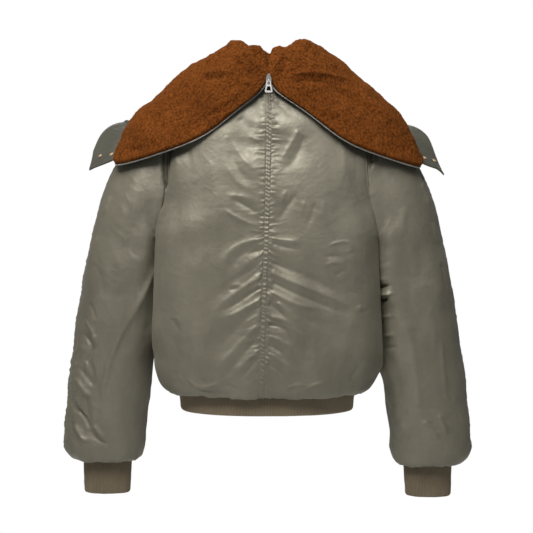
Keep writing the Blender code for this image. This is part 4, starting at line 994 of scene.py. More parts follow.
def nylon_material(name, colour, rough, tone=0.13, fold=0.45, metal=0.26):
    m = Shade(name, colour, rough, metal, Sheen_Weight=0.10, Sheen_Roughness=0.45, Sheen_Tint=(0.95, 0.92, 0.80, 1), Specular_IOR_Level=0.5)
    p = m.coordinates()
    uv = m.coordinates(uv=True)
    # its tone and sheen drift in long streaks down the cloth
    drawn = m.node("ShaderNodeMapping", {"Vector": p}, Scale=(1.0, 1.0, 0.32), Rotation=(0.0, 0.35, 0.0)).outputs["Vector"]
    base = m.ramp(m.noise(drawn, 15.0, 4.0, 0.6), (0.30, tinted(colour, 1 - tone)), (0.5, colour), (0.72, tinted(colour, 1 + tone)))
    fleck = m.ramp(m.math("ADD", m.math("MULTIPLY", m.noise(uv, 620.0, 2.0), 0.6), m.math("MULTIPLY", m.noise(p, 75.0, 4.0, 0.65), 0.4)), (0.30, (0.86, 0.865, 0.86)), (0.70, (1.05, 1.045, 1.04)))
    mix = m.tree.nodes.new("ShaderNodeMix")
    mix.data_type, mix.blend_type = "RGBA", "MULTIPLY"
    mix.inputs["Factor"].default_value = 1.0
    m.tree.links.new(base, mix.inputs[6])
    m.tree.links.new(fleck, mix.inputs[7])
    m.link(mix.outputs[2], "Base Color")
    m.link(m.spread(m.noise(drawn, 38.0, 4.0, 0.6), rough - 0.10, rough + 0.10), "Roughness")
    crease = m.noise(p, 42.0, 3.0, 0.5, 0.6)
    fine = m.noise(p, 150.0, 2.0, 0.5, 0.3)
    n = m.bump(crease, 0.0022 * fold, 0.55)
    n = m.bump(fine, 0.0009, 0.45, n)
    m.link(m.weave(uv, 0.00042, 0.00004, 0.35, n), "Normal")
    # the satin's floats carry the light across the cloth
    m.set(Anisotropic=0.45, Anisotropic_Rotation=0.0)
    t = m.tree.nodes.new("ShaderNodeTangent")
    t.direction_type = "UV_MAP"
    t.uv_map = "cloth"
    m.link(t.outputs["Tangent"], "Tangent")
    return m.mat


def rib_material(name, colour):
    m = Shade(name, colour, 0.92, Sheen_Weight=0.35, Sheen_Roughness=0.6, Sheen_Tint=(0.8, 0.72, 0.6, 1), Specular_IOR_Level=0.25)
    p, uv = m.coordinates(), m.coordinates(uv=True)
    # painted shade and highlight: the knit's colour is darker in its grooves and lighter on its ribs, following the
    # knit's height
    height = m.attribute("rib")
    base = m.ramp(height, (0.0, tinted(colour, 0.70)), (0.55, colour), (1.0, tinted(colour, 1.16)))
    patch = m.ramp(m.noise(p, 22.0, 4.0), (0.3, (0.86, 0.86, 0.86)), (0.7, (1.08, 1.08, 1.08)))
    fuzz = m.ramp(m.noise(p, 900.0, 2.0), (0.3, (0.80, 0.80, 0.80)), (0.7, (1.12, 1.12, 1.12)))
    last = base
    for other in (patch, fuzz):
        mix = m.tree.nodes.new("ShaderNodeMix")
        mix.data_type, mix.blend_type = "RGBA", "MULTIPLY"
        mix.inputs["Factor"].default_value = 1.0
        m.tree.links.new(last, mix.inputs[6])
        m.tree.links.new(other, mix.inputs[7])
        last = mix.outputs[2]
    m.link(last, "Base Color")
    sep = m.node("ShaderNodeSeparateXYZ", {"Vector": uv})
    course = m.math("SINE", m.math("MULTIPLY", sep.outputs["Y"], 2 * pi / 0.0016))
    n = m.bump(course, 0.00018, 0.8)
    m.link(m.bump(m.noise(p, 1100.0, 2.0), 0.0004, 0.7, n), "Normal")
    return m.mat


def pile_material(name, colour):
    m = Shade(name, colour, 0.97, Sheen_Weight=0.08, Sheen_Roughness=0.6, Sheen_Tint=(0.95, 0.42, 0.14, 1), Specular_IOR_Level=0.03)
    p = m.coordinates()
    # painted shade and highlight: the pile is darker in the gaps between its curls and lighter on their tips, following
    # the curls' height mixed with random fuzz
    height = m.attribute("curl")
    fuzz = m.noise(p, 480.0, 2.0, 0.6)
    mixed = m.math("ADD", m.math("MULTIPLY", height, 0.60), m.math("MULTIPLY", fuzz, 0.46))
    base = m.ramp(mixed, (0.28, tinted(colour, 0.58)), (0.55, tinted(colour, 0.98)), (0.82, tinted(colour, 1.42)))
    patch = m.ramp(m.noise(p, 15.0, 4.0, 0.6), (0.3, (0.84, 0.82, 0.80)), (0.7, (1.12, 1.12, 1.12)))
    mix = m.tree.nodes.new("ShaderNodeMix")
    mix.data_type, mix.blend_type = "RGBA", "MULTIPLY"
    mix.inputs["Factor"].default_value = 1.0
    m.tree.links.new(base, mix.inputs[6])
    m.tree.links.new(patch, mix.inputs[7])
    m.link(mix.outputs[2], "Base Color")
    n = m.bump(m.noise(p, 480.0, 3.0, 0.6, 1.5), 0.0012, 0.7)
    m.link(m.bump(m.noise(p, 1500.0, 2.0), 0.0004, 0.6, n), "Normal")
    return m.mat


def tape_material(name, colour):
    m = Shade(name, colour, 0.85, Sheen_Weight=0.2, Sheen_Roughness=0.5, Specular_IOR_Level=0.3)
    p, uv = m.coordinates(), m.coordinates(uv=True)
    m.link(m.ramp(m.noise(p, 160.0, 3.0), (0.3, tinted(colour, 0.8)), (0.7, tinted(colour, 1.15))), "Base Color")
    m.link(m.weave(uv, 0.0008, 0.00008, 0.8, twill=True), "Normal")
    return m.mat


def metal_material(name, colour, rough, wear=0.12, metal=1.0):
    m = Shade(name, colour, rough, metal)
    p = m.coordinates()
    m.link(m.ramp(m.noise(p, 260.0, 3.0), (0.3, tinted(colour, 1 - wear)), (0.7, colour)), "Base Color")
    m.link(m.spread(m.noise(p, 420.0, 4.0), rough - 0.07, rough + 0.12), "Roughness")
    m.link(m.bump(m.noise(p, 900.0, 2.0), 0.00006, 0.5), "Normal")
    return m.mat


NYLON = (0.196, 0.187, 0.143)
MAT = {
    "nylon": nylon_material("nylon_satin", NYLON, 0.49),
    # painted shade: the sleeves' nylon and the hood's outer nylon are the shell's nylon made darker (0.96 and 0.9), for
    # the less light they catch
    "sleeve": nylon_material("nylon_satin_sleeve", tinted(NYLON, 0.96), 0.48),
    "hood": nylon_material("nylon_satin_hood", tinted(NYLON, 0.9), 0.44),
    # the face band's nylon is much darker and greener than the shell's: partly its own darker tone, partly painted
    # shade for the shadow it lies in
    "band": nylon_material("nylon_band", (0.062, 0.064, 0.048), 0.62, tone=0.12, fold=0.5, metal=0.0),
    "rib": rib_material("rib_knit", (0.165, 0.135, 0.088)),
    # painted light: the hem's knit is the cuffs' knit made lighter, to offset the shade it lies in under the shell's
    # edge
    "hem": rib_material("rib_knit_hem", (0.235, 0.193, 0.127)),
    "pile": pile_material("curly_pile", (0.120, 0.0365, 0.0072)),
    "tape": tape_material("zip_tape", (0.110, 0.105, 0.080)),
    "thread": tape_material("thread", (0.150, 0.140, 0.100)),
    "teeth": metal_material("zip_teeth", (0.66, 0.66, 0.64), 0.42, 0.12, 0.6),
    "slider": metal_material("zip_slider", (0.40, 0.40, 0.39), 0.36, 0.12, 0.8),
    "pull": metal_material("zip_pull", (0.92, 0.92, 0.90), 0.30, 0.05, 0.55),
    "brass": metal_material("snap_brass", (0.86, 0.66, 0.42), 0.30, 0.12, 0.7),
}


# ------------------------------------------------------------------ relief of the nylon
def seam_dip(dist, depth=0.0014, width=0.0022, lip=0.0004):
    """what a seam does to the cloth beside it: a narrow groove with a slight lip"""
    return -depth * np.exp(-(dist / width) ** 2) + lip * np.exp(-((dist - 0.0065) / 0.0035) ** 2)


def padded(W, big=0.0024, mid=0.00032, small=0.00007, seed=0.0):
    """uneven fullness of lightly padded satin and its small creases"""
    return (big * 2 * noise(W / 0.060 + 3 + seed) + mid * crumple(W, 0.030, 11 + seed) + small * crumple(W, 0.0105, 29 + seed))


SEAM_Z = np.array([-0.60, -0.573, -0.465, -0.410, -0.283, -0.140, -0.060, -0.028, 0.0])
SEAM_X = np.array([-0.0090, -0.0090, -0.0070, -0.0053, -0.0005, 0.0031, 0.0040, 0.0030, 0.0])


def seam_shift(W):
    """the centre-back seam doesn't hang quite straight"""
    k = pchip(SEAM_Z, SEAM_X, W[..., 2]) * np.exp(-(W[..., 0] / 0.055) ** 2) * (W[..., 1] < 0)
    return W + np.stack([k, 0 * k, 0 * k], -1)


# pleats at the tops of the armholes
PLEATS = [
    ([(-190.5, -117), (-189.0, -165), (-184.5, -212)], 3.6, -9.5, 0.0, 0.14, 0),
    ([(-174.5, -117), (-177.5, -165), (-183.0, -213)], 3.8, -10.5, 0.0, 0.14, 0),
    ([(-183.5, -205), (-192.5, -286), (-199, -370), (-203, -470)], 2.4, 3.4, 0.10, 0.4, 0),
    ([(-187.5, -205), (-197, -286), (-203.5, -370), (-207.5, -470)], 3.0, -4.5, 0.10, 0.4, 0),
    ([(-182, -117), (-182.5, -168)], 3.0, 2.5, 0.0, 0.5, 0),
    ([(187, -115), (190, -145), (193, -178)], 3.8, -9.0, 0.0, 0.5, 0),
    ([(198, -117), (200, -140), (199, -165)], 3.0, -4.0, 0.0, 0.5, 0),
]


def gather_angle(z):
    return np.interp(z, [-580, -530, -510, -450, -430, -330, -270, 0], [-42, -42, -12, -12, -35, -35, 0, 0])


def seam_gathers(seed):
    rng = np.random.default_rng(seed)
    at, z = [], -26.0
    while z > -574:
        at.append(z)
        z -= rng.uniform(7.0, 13.5)
    return spread_folds(seed, at, lambda z: 19 + 6 * np.sin(z / 31), gather_angle, lambda z: 1.9, lambda z: 1.35 + 0.25 * np.sin(z / 23), start=2.6)


def hem_gathers(seed, total, pitch=10.0, length=15.0, rise=1.1, start=0.0):
    rng = np.random.default_rng(seed)
    at, x = [], rng.uniform(2, 6)
    while x < total:
        at.append(x)
        x += pitch * rng.uniform(0.6, 1.5)
    return spread_folds(seed, at, lambda u: length, lambda u: 0, lambda u: 2.2, lambda u: 1.35 * rise, start=start)


def hem_line(v):
    return smooth(v / 3.0)


# ------------------------------------------------------------------ back and front panels
ZROW = lambda v: pchip(ROWS, TORSO[:, 0], v)


def edge_angle(v):
    """angle at which a panel ends: side seam, armhole or shoulder seam"""
    z = ZROW(v)
    c = np.clip((z - (ARM_TOP + ARM_PIT) / 2) / ((ARM_TOP - ARM_PIT) / 2), -1, 1)
    inside = (v > ROW_PIT) & (v < ROW_SHOULDER)
    phi = np.degrees(np.arccos(c))
    return phi, inside


def panel_rows(step):
    low = spaced(lambda v: torso(v, 35.0), 0.0, ROW_PIT, step)
    n = fit(1.43 * (ARM_TOP - ARM_PIT) / step)
    u = np.linspace(0, 1, n)
    z = ARM_PIT + (ARM_TOP - ARM_PIT) * (0.25 * u + 0.75 * (1 - np.cos(pi * u)) / 2)
    arm = level_of(z)
    arm[0], arm[-1] = ROW_PIT, ROW_SHOULDER
    top = spaced(lambda v: torso(v, 35.0), ROW_SHOULDER, ROW_NECK, step)
    return np.concatenate([low, arm[1:], top[1:]])


def panel_grid(front, step, near_step, near_n, far_step, end_step, end_n):
    v = panel_rows(step)
    phi, inside = edge_angle(v)
    edge = np.where(inside, armhole(np.where(front, 360 - phi, phi))[1], 90.0)
    if front:
        a, n = np.interp(v, ROWS, TORSO[:, 1]), np.interp(v, ROWS, TORSO[:, 4])
        a, n = pchip(ROWS, TORSO[:, 1], v), pchip(ROWS, TORSO[:, 4], v)
        start = 180 - np.degrees(np.arcsin(np.minimum((ZIP_HALF / a) ** (n / 2), 1)))
    else:
        start = np.zeros(len(v))
    u = (1 - np.cos(pi * np.linspace(0, 1, 700))) / 2
    TH = start[:, None] + (edge - start)[:, None] * u[None]
    Q = torso(np.repeat(v[:, None], 700, 1), TH)
    at = lengths(Q, 1)
    far = fit((at[:, -1].max() - near_step * near_n - end_step * end_n) / far_step) - 1
    nj = near_n + far + end_n + 1
    out = np.empty((len(v), nj))
    for i in range(len(v)):
        total = at[i, -1]
        near = np.arange(near_n + 1) * min(near_step, total / (nj - 1) * 1.2)
        last = np.arange(end_n + 1) * min(end_step, total / (nj - 1) * 1.2)
        rest = near[-1] + (total - last[-1] - near[-1]) * np.arange(1, far + 1) / far
        out[i] = np.interp(np.concatenate([near, rest, total - last[::-1][1:]]), at[i], TH[i])
    V = np.repeat(v[:, None], nj, 1)
    P = torso(V, out)
    N = normal(torso, V, out)
    if front:
        P[:, 0, 0] = ZIP_HALF
    else:
        P[:, 0, 0] = 0
        N[:, 0, 0] = 0
    N = unit(N)
    return v, V, out, P, N, phi, inside


def blend_arm_normals(P, N, phi, inside, side, front):
    """near the armhole the cloth turns towards the seam's own normal, which the sleeve shares"""
    rows = np.nonzero(inside)[0]
    seam = arm_normal(np.where(front, 360 - phi, phi)[rows], side)
    away = border(P, False, True, 1)[rows]
    k = np.exp(-(away / 0.006) ** 2)[..., None]
    N = N.copy()
    N[rows] = unit(N[rows] * (1 - k) + seam[:, None] * k)
    return N


def press(W, N, away, inwards, left=False):
    """body and sleeve press against each other: beside the seam, and over the slit under the arm, the cloth of each
    swells out so far that only a shallow valley is left between them"""
    z = W[..., 2]
    facing = N[..., 0] * np.sign(W[..., 0]) * (-1 if inwards else 1)
    low = smooth((-z - 0.225) / 0.07) * smooth((z + (0.585 if inwards else 0.575) - 0.045 * left) / 0.07)
    slit_side = (0.0140 if inwards else 0.0120) * smooth((facing - 0.12) / 0.62) * low
    seam_side = 0.0095 * np.exp(-(away / 0.026) ** 2) * smooth((-z - 0.105) / 0.05) * (1 - smooth((-z - 0.245) / 0.05))
    return slit_side + seam_side


def meet(Q, inwards):
    """neither goes past the plane in which the two touch"""
    x, z = np.abs(Q[..., 0]), Q[..., 2]
    side_x = pchip(TORSO[4:, 0], TORSO[4:, 1], z)
    sleeve_x = np.interp(z, SLEEVE[::-1, 1], SLEEVE[::-1, 0])
    plane = (side_x + np.maximum(sleeve_x, side_x)) / 2
    k = smooth((-z - 0.292) / 0.014) * (z > -0.60)
    held = np.maximum(x, plane + 0.00012) if inwards else np.minimum(x, plane - 0.00012)
    x = np.where(k > 0, x * (1 - k) + held * k, x)
    return np.stack([np.sign(Q[..., 0]) * x, Q[..., 1], z], -1)


def panel_piece(side, front):
    if front:
        v, V, TH, P, N, phi, inside = panel_grid(True, 3.9e-3, 0.0015, 12, 4.8e-3, 0.0022, 8)
    else:
        v, V, TH, P, N, phi, inside = panel_grid(False, 1.75e-3, 0.001125, 28, 3.3e-3, 0.0015, 16)
    N = blend_arm_normals(P, N, phi, inside, side, front)
    flip = flip_of(side)
    W = P * flip
    if not front:
        W = seam_shift(W)
    up, out = lengths(P, 0), lengths(P, 1)
    top = up[-1:] - up
    away = out[:, -1:] - out
    q = xz(W)
    seed = {("left", False): 0.0, ("right", False): 5.0, ("left", True): 9.0, ("right", True): 13.0}[(side, front)]
    d = padded(W, seed=seed)
    if front:
        mirrored = q * np.array([-1, 1])
        d = d + folds(mirrored + np.array([0, 0.012]), BACK_FOLDS, 0.62) * smooth((out - 0.018) / 0.03)
        d = d * smooth((out - 0.004) / 0.020)
    else:
        sgn = -1 if side == "left" else 1
        d = d + folds(q, BACK_FOLDS, 0.80, 0.5, 0.80, 0.6) * smooth((out - 0.004) / 0.008)
        d = d + fan(out, P[..., 2], gather_angle, 3.0 if side == "left" else 57.0) * smooth((out - 0.004) / 0.006)
        sq = np.stack([out, P[..., 2]], -1)
        d = d + folds(sq, seam_gathers(21 if side == "left" else 22)) * smooth((out - 0.003) / 0.003)
        # the stitched strip over the seam: fine cross ripples between two rows of stitches
        strip = np.exp(-(np.clip(out - 0.0030, 0, 1) / 0.0016) ** 2)
        ripple = np.sin(P[..., 2] / 0.0078 * 2 * pi + 9 * noise(W / 0.024) + sgn * out / 0.0045 * 1.6)
        d = d * (1 - strip) + strip * (0.0001 + 0.00075 * ripple)
        d = d - 0.0052 * np.exp(-(W[..., 0] / 0.060) ** 2 - ((W[..., 2] + 0.132) / 0.032) ** 2)
        d = d - (0.0007 + 0.0005 * ripple) * np.exp(-((out - 0.0045) / 0.0012) ** 2) - 0.0003 * np.exp(-(out / 0.0010) ** 2)
    # hem: gathers run up from the rib, and the shell's rim is uneven
    hq = np.stack([up, out], -1)
    d = d * smooth((up - 0.001) / 0.012)
    d = d + folds(hq, hem_gathers(31 + len(side) + 7 * front, out[0, -1] * 1000, 12.0, 38.0, 1.0, start=3.0), 1.0) * smooth(up / 0.004) * (smooth((out - 0.007) / 0.006) if not front else smooth((out - 0.010) / 0.01))
    # side seam, armhole and neck seam
    d = d * smooth((away + 0.002) / 0.010) * smooth((top + 0.001) / 0.010)
    lip = (0.0026 if side == "left" and not front else 0.0016) * np.exp(-((away - 0.0024) / 0.0022) ** 2) - 0.0006 * np.exp(-(away / 0.0012) ** 2) - 0.0010 * np.exp(-((away - 0.0085) / 0.003) ** 2)
    over = (inside & (v > 9.3))[:, None] * np.ones_like(d)
    d = d + np.where(over > 0, lip, seam_dip(away))
    if not front:
        d = d + folds(q, PLEATS)
    k = smooth((np.abs(W[..., 0]) - 0.186) / 0.012) * smooth((-W[..., 2] - 0.285) / 0.03)
    d = d * (1 - 0.7 * k) + press(W, N * flip, np.where((v > ROW_PIT)[:, None], away, 1.0), False, side == "left")
    if front:
        d = d - 0.0008 * np.exp(-((out - 0.0060) / 0.0012) ** 2) - 0.0006 * np.exp(-(out / 0.0012) ** 2)
    uv = np.stack([out, up], -1)
    name = "shell_%s_%s" % ("front" if front else "back", side)
    settle = (lambda Q: meet(hem_wave(Q), False)) if front else (lambda Q: meet(seam_shift(hem_wave(Q)), False))
    ob, grid = wall(name, P * flip, N * flip, d, WALL, uv, k=4, move=settle)
    done(ob, "nylon", ("front_" if front else "back_") + side, mat=MAT["nylon"])
    return ob, grid, N * flip, P


# ------------------------------------------------------------------ sleeves
def seam_columns(v, side, base):
    top = SEAM_TOP[side]
    k = np.clip(v / SEAM_OUT, 0, 1)[:, None]
    turn = top * k * k * (3 - 2 * k)
    near = np.clip(1 - (base - top) / (180 - top), 0, 1)
    far = np.clip(1 - (360 + top - base) / (180 + top), 0, 1)
    return base[None] - turn * (near + far)[None]


END_UP = 0.0115      # how far the sleeves' gathered ends ride up, with the tops of the cuffs


def ends_up(Q):
    """the end rides up and its lower edge hangs in small scallops over the cuff"""
    z = Q[..., 2]
    scallop = 0.0036 * noise(Q * np.array([1, 1, 0.1]) / 0.0135 + 5) * smooth((-z - 0.695) / 0.03)
    return Q + np.array([0, 0, 1.0]) * (END_UP * smooth((-z - 0.650) / 0.080) + scallop)[..., None]


def hem_wave(Q):
    """the shell's lower edge hangs unevenly over the rib"""
    wave = 0.0042 * noise(Q * np.array([1, 1, 0.1]) / 0.026 + 9) * smooth((-Q[..., 2] - 0.545) / 0.035)
    return Q + np.array([0, 0, 1.0]) * wave[..., None]


def cuff_up(Q):
    return Q + np.array([0, 0, 1.0]) * (END_UP * (1 - smooth((-Q[..., 2] - 0.735) / 0.050)))[..., None]


def sleeve_half(side, half):
    step = 2.2e-3 if half == "back" else 4.0e-3
    top = SEAM_TOP[side]
    f = lambda q, u: sleeve(q, u, side)
    v = spaced(lambda t: f(t, 90.0 if half == "back" else 270.0), 0.0, 17.0, step)
    lo, hi = (top, 180.0) if half == "back" else (180.0, 360.0 + top)
    girth = 0.20 if half == "back" else 0.24
    base = np.linspace(lo, hi, fit(girth / step))
    PH = seam_columns(v, side, base)
    V = np.repeat(v[:, None], len(base), 1)
    P = f(V, PH)
    square = smooth((V - 12.0) / 1.8) * (1 - smooth((V - 15.0) / 1.2))       # the end's corners are full
    P[..., 0] += (P[..., 0] - 0.312) * 0.075 * square
    N = normal(f, V, PH, dv=0.06)
    N[0] = N[1]
    seam = arm_normal(PH[0], side)
    along, across_ = lengths(P, 0), lengths(P, 1)
    k = np.exp(-(along / 0.006) ** 2)[..., None]
    N = unit(N * (1 - k) + seam[None] * k)
    flip = flip_of(side)
    W = P * flip
    q = xz(W)
    end = along[-1:] - along
    first, last = across_, across_[:, -1:] - across_
    outer_seam, under_seam = (first, last) if half == "back" else (last, first)
    seed = {"left": 17.0, "right": 23.0}[side] + (4 if half == "front" else 0)
    d = padded(W, 0.0022, 0.0005, 0.00014, seed)
    if side == "left" and half == "back":       # crushed cloth down the outer side
        crushed = smooth((-W[..., 0] - 0.295) / 0.035) * smooth((-W[..., 2] - 0.40) / 0.08) * smooth((W[..., 2] + 0.715) / 0.03)
        d = d + crushed * (0.0032 * crumple(W * np.array([1, 1, 0.5]) + np.array([0.35, 0, 0]) * W[..., 2:], 0.034, 83) + 0.0006 * crumple(W * np.array([1, 1, 0.7]), 0.013, 87))
    if half == "back":
        d = d + folds(q, LEFT_FOLDS if side == "left" else RIGHT_FOLDS, 1.5 if side == "left" else 1.6, 0.3, 0.95)
    else:
        d = d + folds(q * np.array([-1, 1]) + np.array([0, 0.015]), RIGHT_FOLDS if side == "left" else LEFT_FOLDS, 0.8)
    d = d * smooth((along + 0.001) / 0.010) * smooth(outer_seam / 0.006 + 0.1) * smooth(under_seam / 0.008)
    # gathers: along the outer seam, at the cuff, and along the armhole
    sd = 41 + len(side) * 3 + (half == "front")
    rng = np.random.default_rng(sd)
    at, x = [], 60.0
    total = along[:, 0 if half == "back" else -1].max() * 1000
    while x < total - 12:
        at.append(x)
        x += rng.uniform(9, 19)
    strength = lambda u: (0.5 if u < 230 else 1.5) if side == "left" else 0.8
    table = spread_folds(sd, at, lambda u: 15, lambda u: 20 * np.sin(u / 47.0), lambda u: 3.0, strength, start=0.5)
    place = along[:, :1] if half == "back" else along[:, -1:]
    d = d + folds(np.stack([outer_seam, np.broadcast_to(place, outer_seam.shape)], -1), table)
    d = d + folds(np.stack([end, first], -1), hem_gathers(sd + 5, 230, 9.0, 17.0, 1.4, start=4.0)) * smooth(end / 0.006)
    d = d + folds(np.stack([along, first], -1), hem_gathers(sd + 9, 260, 17.0, 16.0, 0.9, start=1.0)) * smooth(along / 0.003)
    d = d + 0.0022 * np.exp(-((end - 0.013) / 0.010) ** 2)       # the end blouses over the cuff
    d = d * smooth((end + 0.001) / 0.006)
    d = d - 0.0026 * np.exp(-(along / 0.0035) ** 2) + seam_dip(outer_seam, 0.0040 if side == "left" else 0.0026, 0.0030, 0.0010) + seam_dip(under_seam, 0.0010, 0.002, 0.0002)
    if half == "back":
        d = d + folds(q, PLEATS)
    x, z = np.abs(W[..., 0]), W[..., 2]
    k = smooth((0.234 - x) / 0.012) * smooth((-z - 0.300) / 0.03) * smooth((z + 0.60) / 0.03)
    d = d * (1 - 0.15 * k) + press(W, N * flip, along, True, side == "left")
    ob, grid = wall("sleeve_%s_%s_cloth" % (side, half), W, N * flip, d, WALL, np.stack([across_, along], -1), k=4, move=lambda Q: meet(ends_up(Q), True))
    done(ob, "nylon", "sleeve_%s_%s" % (side, half), mat=MAT["sleeve"])
    return ob, grid, N * flip, P


# ------------------------------------------------------------------ rib knit
def knit(phase):
    """height of the knit from 0 in the groove to 1 on the rib"""
    return (0.5 + 0.5 * np.cos(phase)) ** 0.75


def even_columns(f, v, lo, hi, n, loop):
    """for each level the angles that lie evenly along the section"""
    t = np.linspace(lo, hi, 1441)
    Q = f(np.repeat(v[:, None], len(t), 1), np.repeat(t[None], len(v), 0))
    at = lengths(Q, 1)
    share = np.arange(n) / (n if loop else n - 1)
    return np.stack([np.interp(share * a[-1], a, t) for a in at]), at[:, -1].mean()


def roll_edge(dist, radius, depth):
    x = np.clip(dist / radius, 0, 1)
    return -depth * (1 - np.sqrt(np.clip(1 - (1 - x) ** 2, 0, 1)))


def cuff_knit(side):
    f = lambda q, u: cuff(q, u, side)
    v = spaced(lambda t: f(t, 90.0), 0.0, 3.0, 0.0026)
    n, ribs = 420, 84
    PH, girth = even_columns(f, v, 0.0, 360.0, n, True)
    V = np.repeat(v[:, None], n, 1)
    P, N = f(V, PH), normal(f, V, PH)
    along = lengths(P, 0)
    flip = flip_of(side)
    W = P * flip
    share = np.arange(n) / n
    h = np.broadcast_to(knit(2 * pi * ribs * share[None]), V.shape)
    sway = 0.0012 * noise(W * np.array([1, 1, 0.35]) / 0.022 + 31) * 2 + 0.0007 * noise(W / 0.011 + 57)
    d = 0.0010 * (h - 1) + sway * smooth(along / 0.01) - 0.0004 * (h * 0 + 1)
    d = d + roll_edge(along[-1:] - along, 0.0025, 0.0013)
    uv = np.stack([np.broadcast_to(share[None] * girth, V.shape), along], -1)
    ob, grid = wall("cuff_%s_knit" % side, W, N * flip, d, RIB_WALL, uv, k=4, closed=True, attributes={"rib": h}, move=cuff_up)
    done(ob, "rib", "cuff_" + side, mat=MAT["rib"])
    return ob, grid, N * flip, P


def hem_knit():
    v = spaced(lambda t: rib(t, 20.0), 0.0, 3.0, 0.0030)
    first = np.degrees(np.arcsin((ZIP_HALF / pchip(np.arange(4.0), RIB[:, 1], v)) ** (2.35 / 2)))
    n, ribs = 1641, 328
    t = np.linspace(-1, 1, 2881)
    TH = t[None] * (180 - first)[:, None]
    Q = rib(np.repeat(v[:, None], len(t), 1), TH)
    at = lengths(Q, 1)
    share = np.linspace(0, 1, n)
    TH = np.stack([np.interp(share * a[-1], a, th) for a, th in zip(at, TH)])
    V = np.repeat(v[:, None], n, 1)
    P, N = rib(V, TH), normal(rib, V, TH, turn=-1)
    along = lengths(P, 0)
    h = np.broadcast_to(knit(2 * pi * ribs * share[None]), V.shape)
    sway = 0.0011 * noise(P * np.array([1, 1, 0.4]) / 0.05 + 91) * 2 + 0.0005 * noise(P / 0.014 + 7)
    fade = smooth((at[:, -1].mean() / 2 - np.abs(share - 0.5)[None] * at[:, -1].mean()) / 0.012)
    d = 0.0009 * (h - 1) + sway * smooth(along / 0.012) * fade - 0.0003
    d = d + roll_edge(along[-1:] - along, 0.0028, 0.0014)
    uv = np.stack([np.broadcast_to(share[None] * at[:, -1].mean(), V.shape), along], -1)
    ob, grid = wall("hem_knit", P, N, d, RIB_WALL, uv, k=4, attributes={"rib": h})
    done(ob, "rib", "hem_rib", mat=MAT["hem"])
    return ob, grid, N, P


# ------------------------------------------------------------------ hood
def hood_rows(step):
    edge = lambda s: hood(s, np.full_like(s, T_EDGE))
    zip_rows = spaced(edge, 0.0, CORNER, step, n=300)
    face_rows = spaced(edge, CORNER, 9.0, step, n=300)
    return np.concatenate([zip_rows, face_rows[1:]])


def hood_grid(step):
    s = hood_rows(step)
    t = np.linspace(0, T_EDGE, 160)
    Q = hood(np.repeat(s[:, None], len(t), 1), np.repeat(t[None], len(s), 0))
    at = lengths(Q, 1)
    n = fit(np.percentile(at[:, -1], 75) / step)
    share = np.linspace(0, 1, n)
    T = np.stack([np.interp(share * a[-1], a, t) for a in at])
    S = np.repeat(s[:, None], n, 1)
    return s, S, T, hood(S, T), hood_normal(S, T)


def curls(W):
    """height of the curly pile, 0 in the gaps to 1 on the curls"""
    q = W / 0.0034
    warp = np.stack([noise(q * 0.55 + 5), noise(q * 0.55 + 19), noise(q * 0.55 + 37)], -1)
    a = noise(q + 1.3 * warp)
    b = noise(q * 1.9 + 2.0 * warp + 50)
    return np.clip(0.56 + 1.35 * a + 0.55 * b, 0, 1)


def hood_pile(side, grid):
    s, S, T, P, N = grid
    flip = flip_of(side)
    W = lie(P * flip)
    along = lengths(P, 0)
    q = xz(W)
    d = folds(q, HOOD_FOLDS, 1.6, 0.4) + 0.0036 * noise(W / 0.045 + 3) + 0.0030 * noise(W / 0.018 + 13)
    neck = lengths(P, 1)
    edge = neck[:, -1:] - neck
    throat = along[-1:] - along
    mid = along
    d = d * smooth(neck / 0.02) * smooth(edge / 0.012 + 0.15)
    d = np.clip(d, -0.0064, 0.0074)
    h = curls(W)
    d = d + 0.0017 * (h - 0.80)
    # along the zip the curls reach over the tape, up to the teeth
    by_zip = smooth((CORNER + 0.15 - S) / 0.3)
    reach = unit(P[:, -1:] - P[:, -4:-3]) * (0.0030 * by_zip * np.clip(1 - edge / 0.022, 0, 1) ** 2)[..., None]
    P = P + reach
    d = d + roll_edge(edge, 0.0042, 0.0036) + roll_edge(throat, 0.0060, 0.0045)
    d = d - 0.0022 * np.exp(-(mid / 0.0022) ** 2) * (edge > 0.004)
    uv = np.stack([neck, along], -1)
    ob, out = wall("pile_" + side, P * flip, N * flip, d, PILE - 0.0026, uv, k=4, attributes={"curl": h}, move=lie, sharp=None)
    done(ob, "pile", "hood_pile_" + side, mat=MAT["pile"])
    return ob, out, N * flip, P


def hood_outer(side, grid):
    s, S, T, P, N = grid
    flip = flip_of(side)
    depth = PILE + GAP + HOOD_WALL
    base = P - N * depth
    W = lie(base * flip)
    neck = lengths(P, 1)
    edge = neck[:, -1:] - neck
    d = 0.0005 * crumple(W, 0.028, 61) + 0.0008 * noise(W / 0.04 + 8)
    d = np.clip(d * smooth(neck / 0.015) * smooth(edge / 0.008), -0.0004, 0.0012)
    uv = np.stack([neck, lengths(P, 0)], -1)
    ob, out = wall("hood_outer_" + side, base * flip, -N * flip, d, HOOD_WALL - 0.0003, uv, k=4, move=lie)
    done(ob, "nylon", "hood_shell_" + side, mat=MAT["hood"])
    return ob, out, -N * flip, P


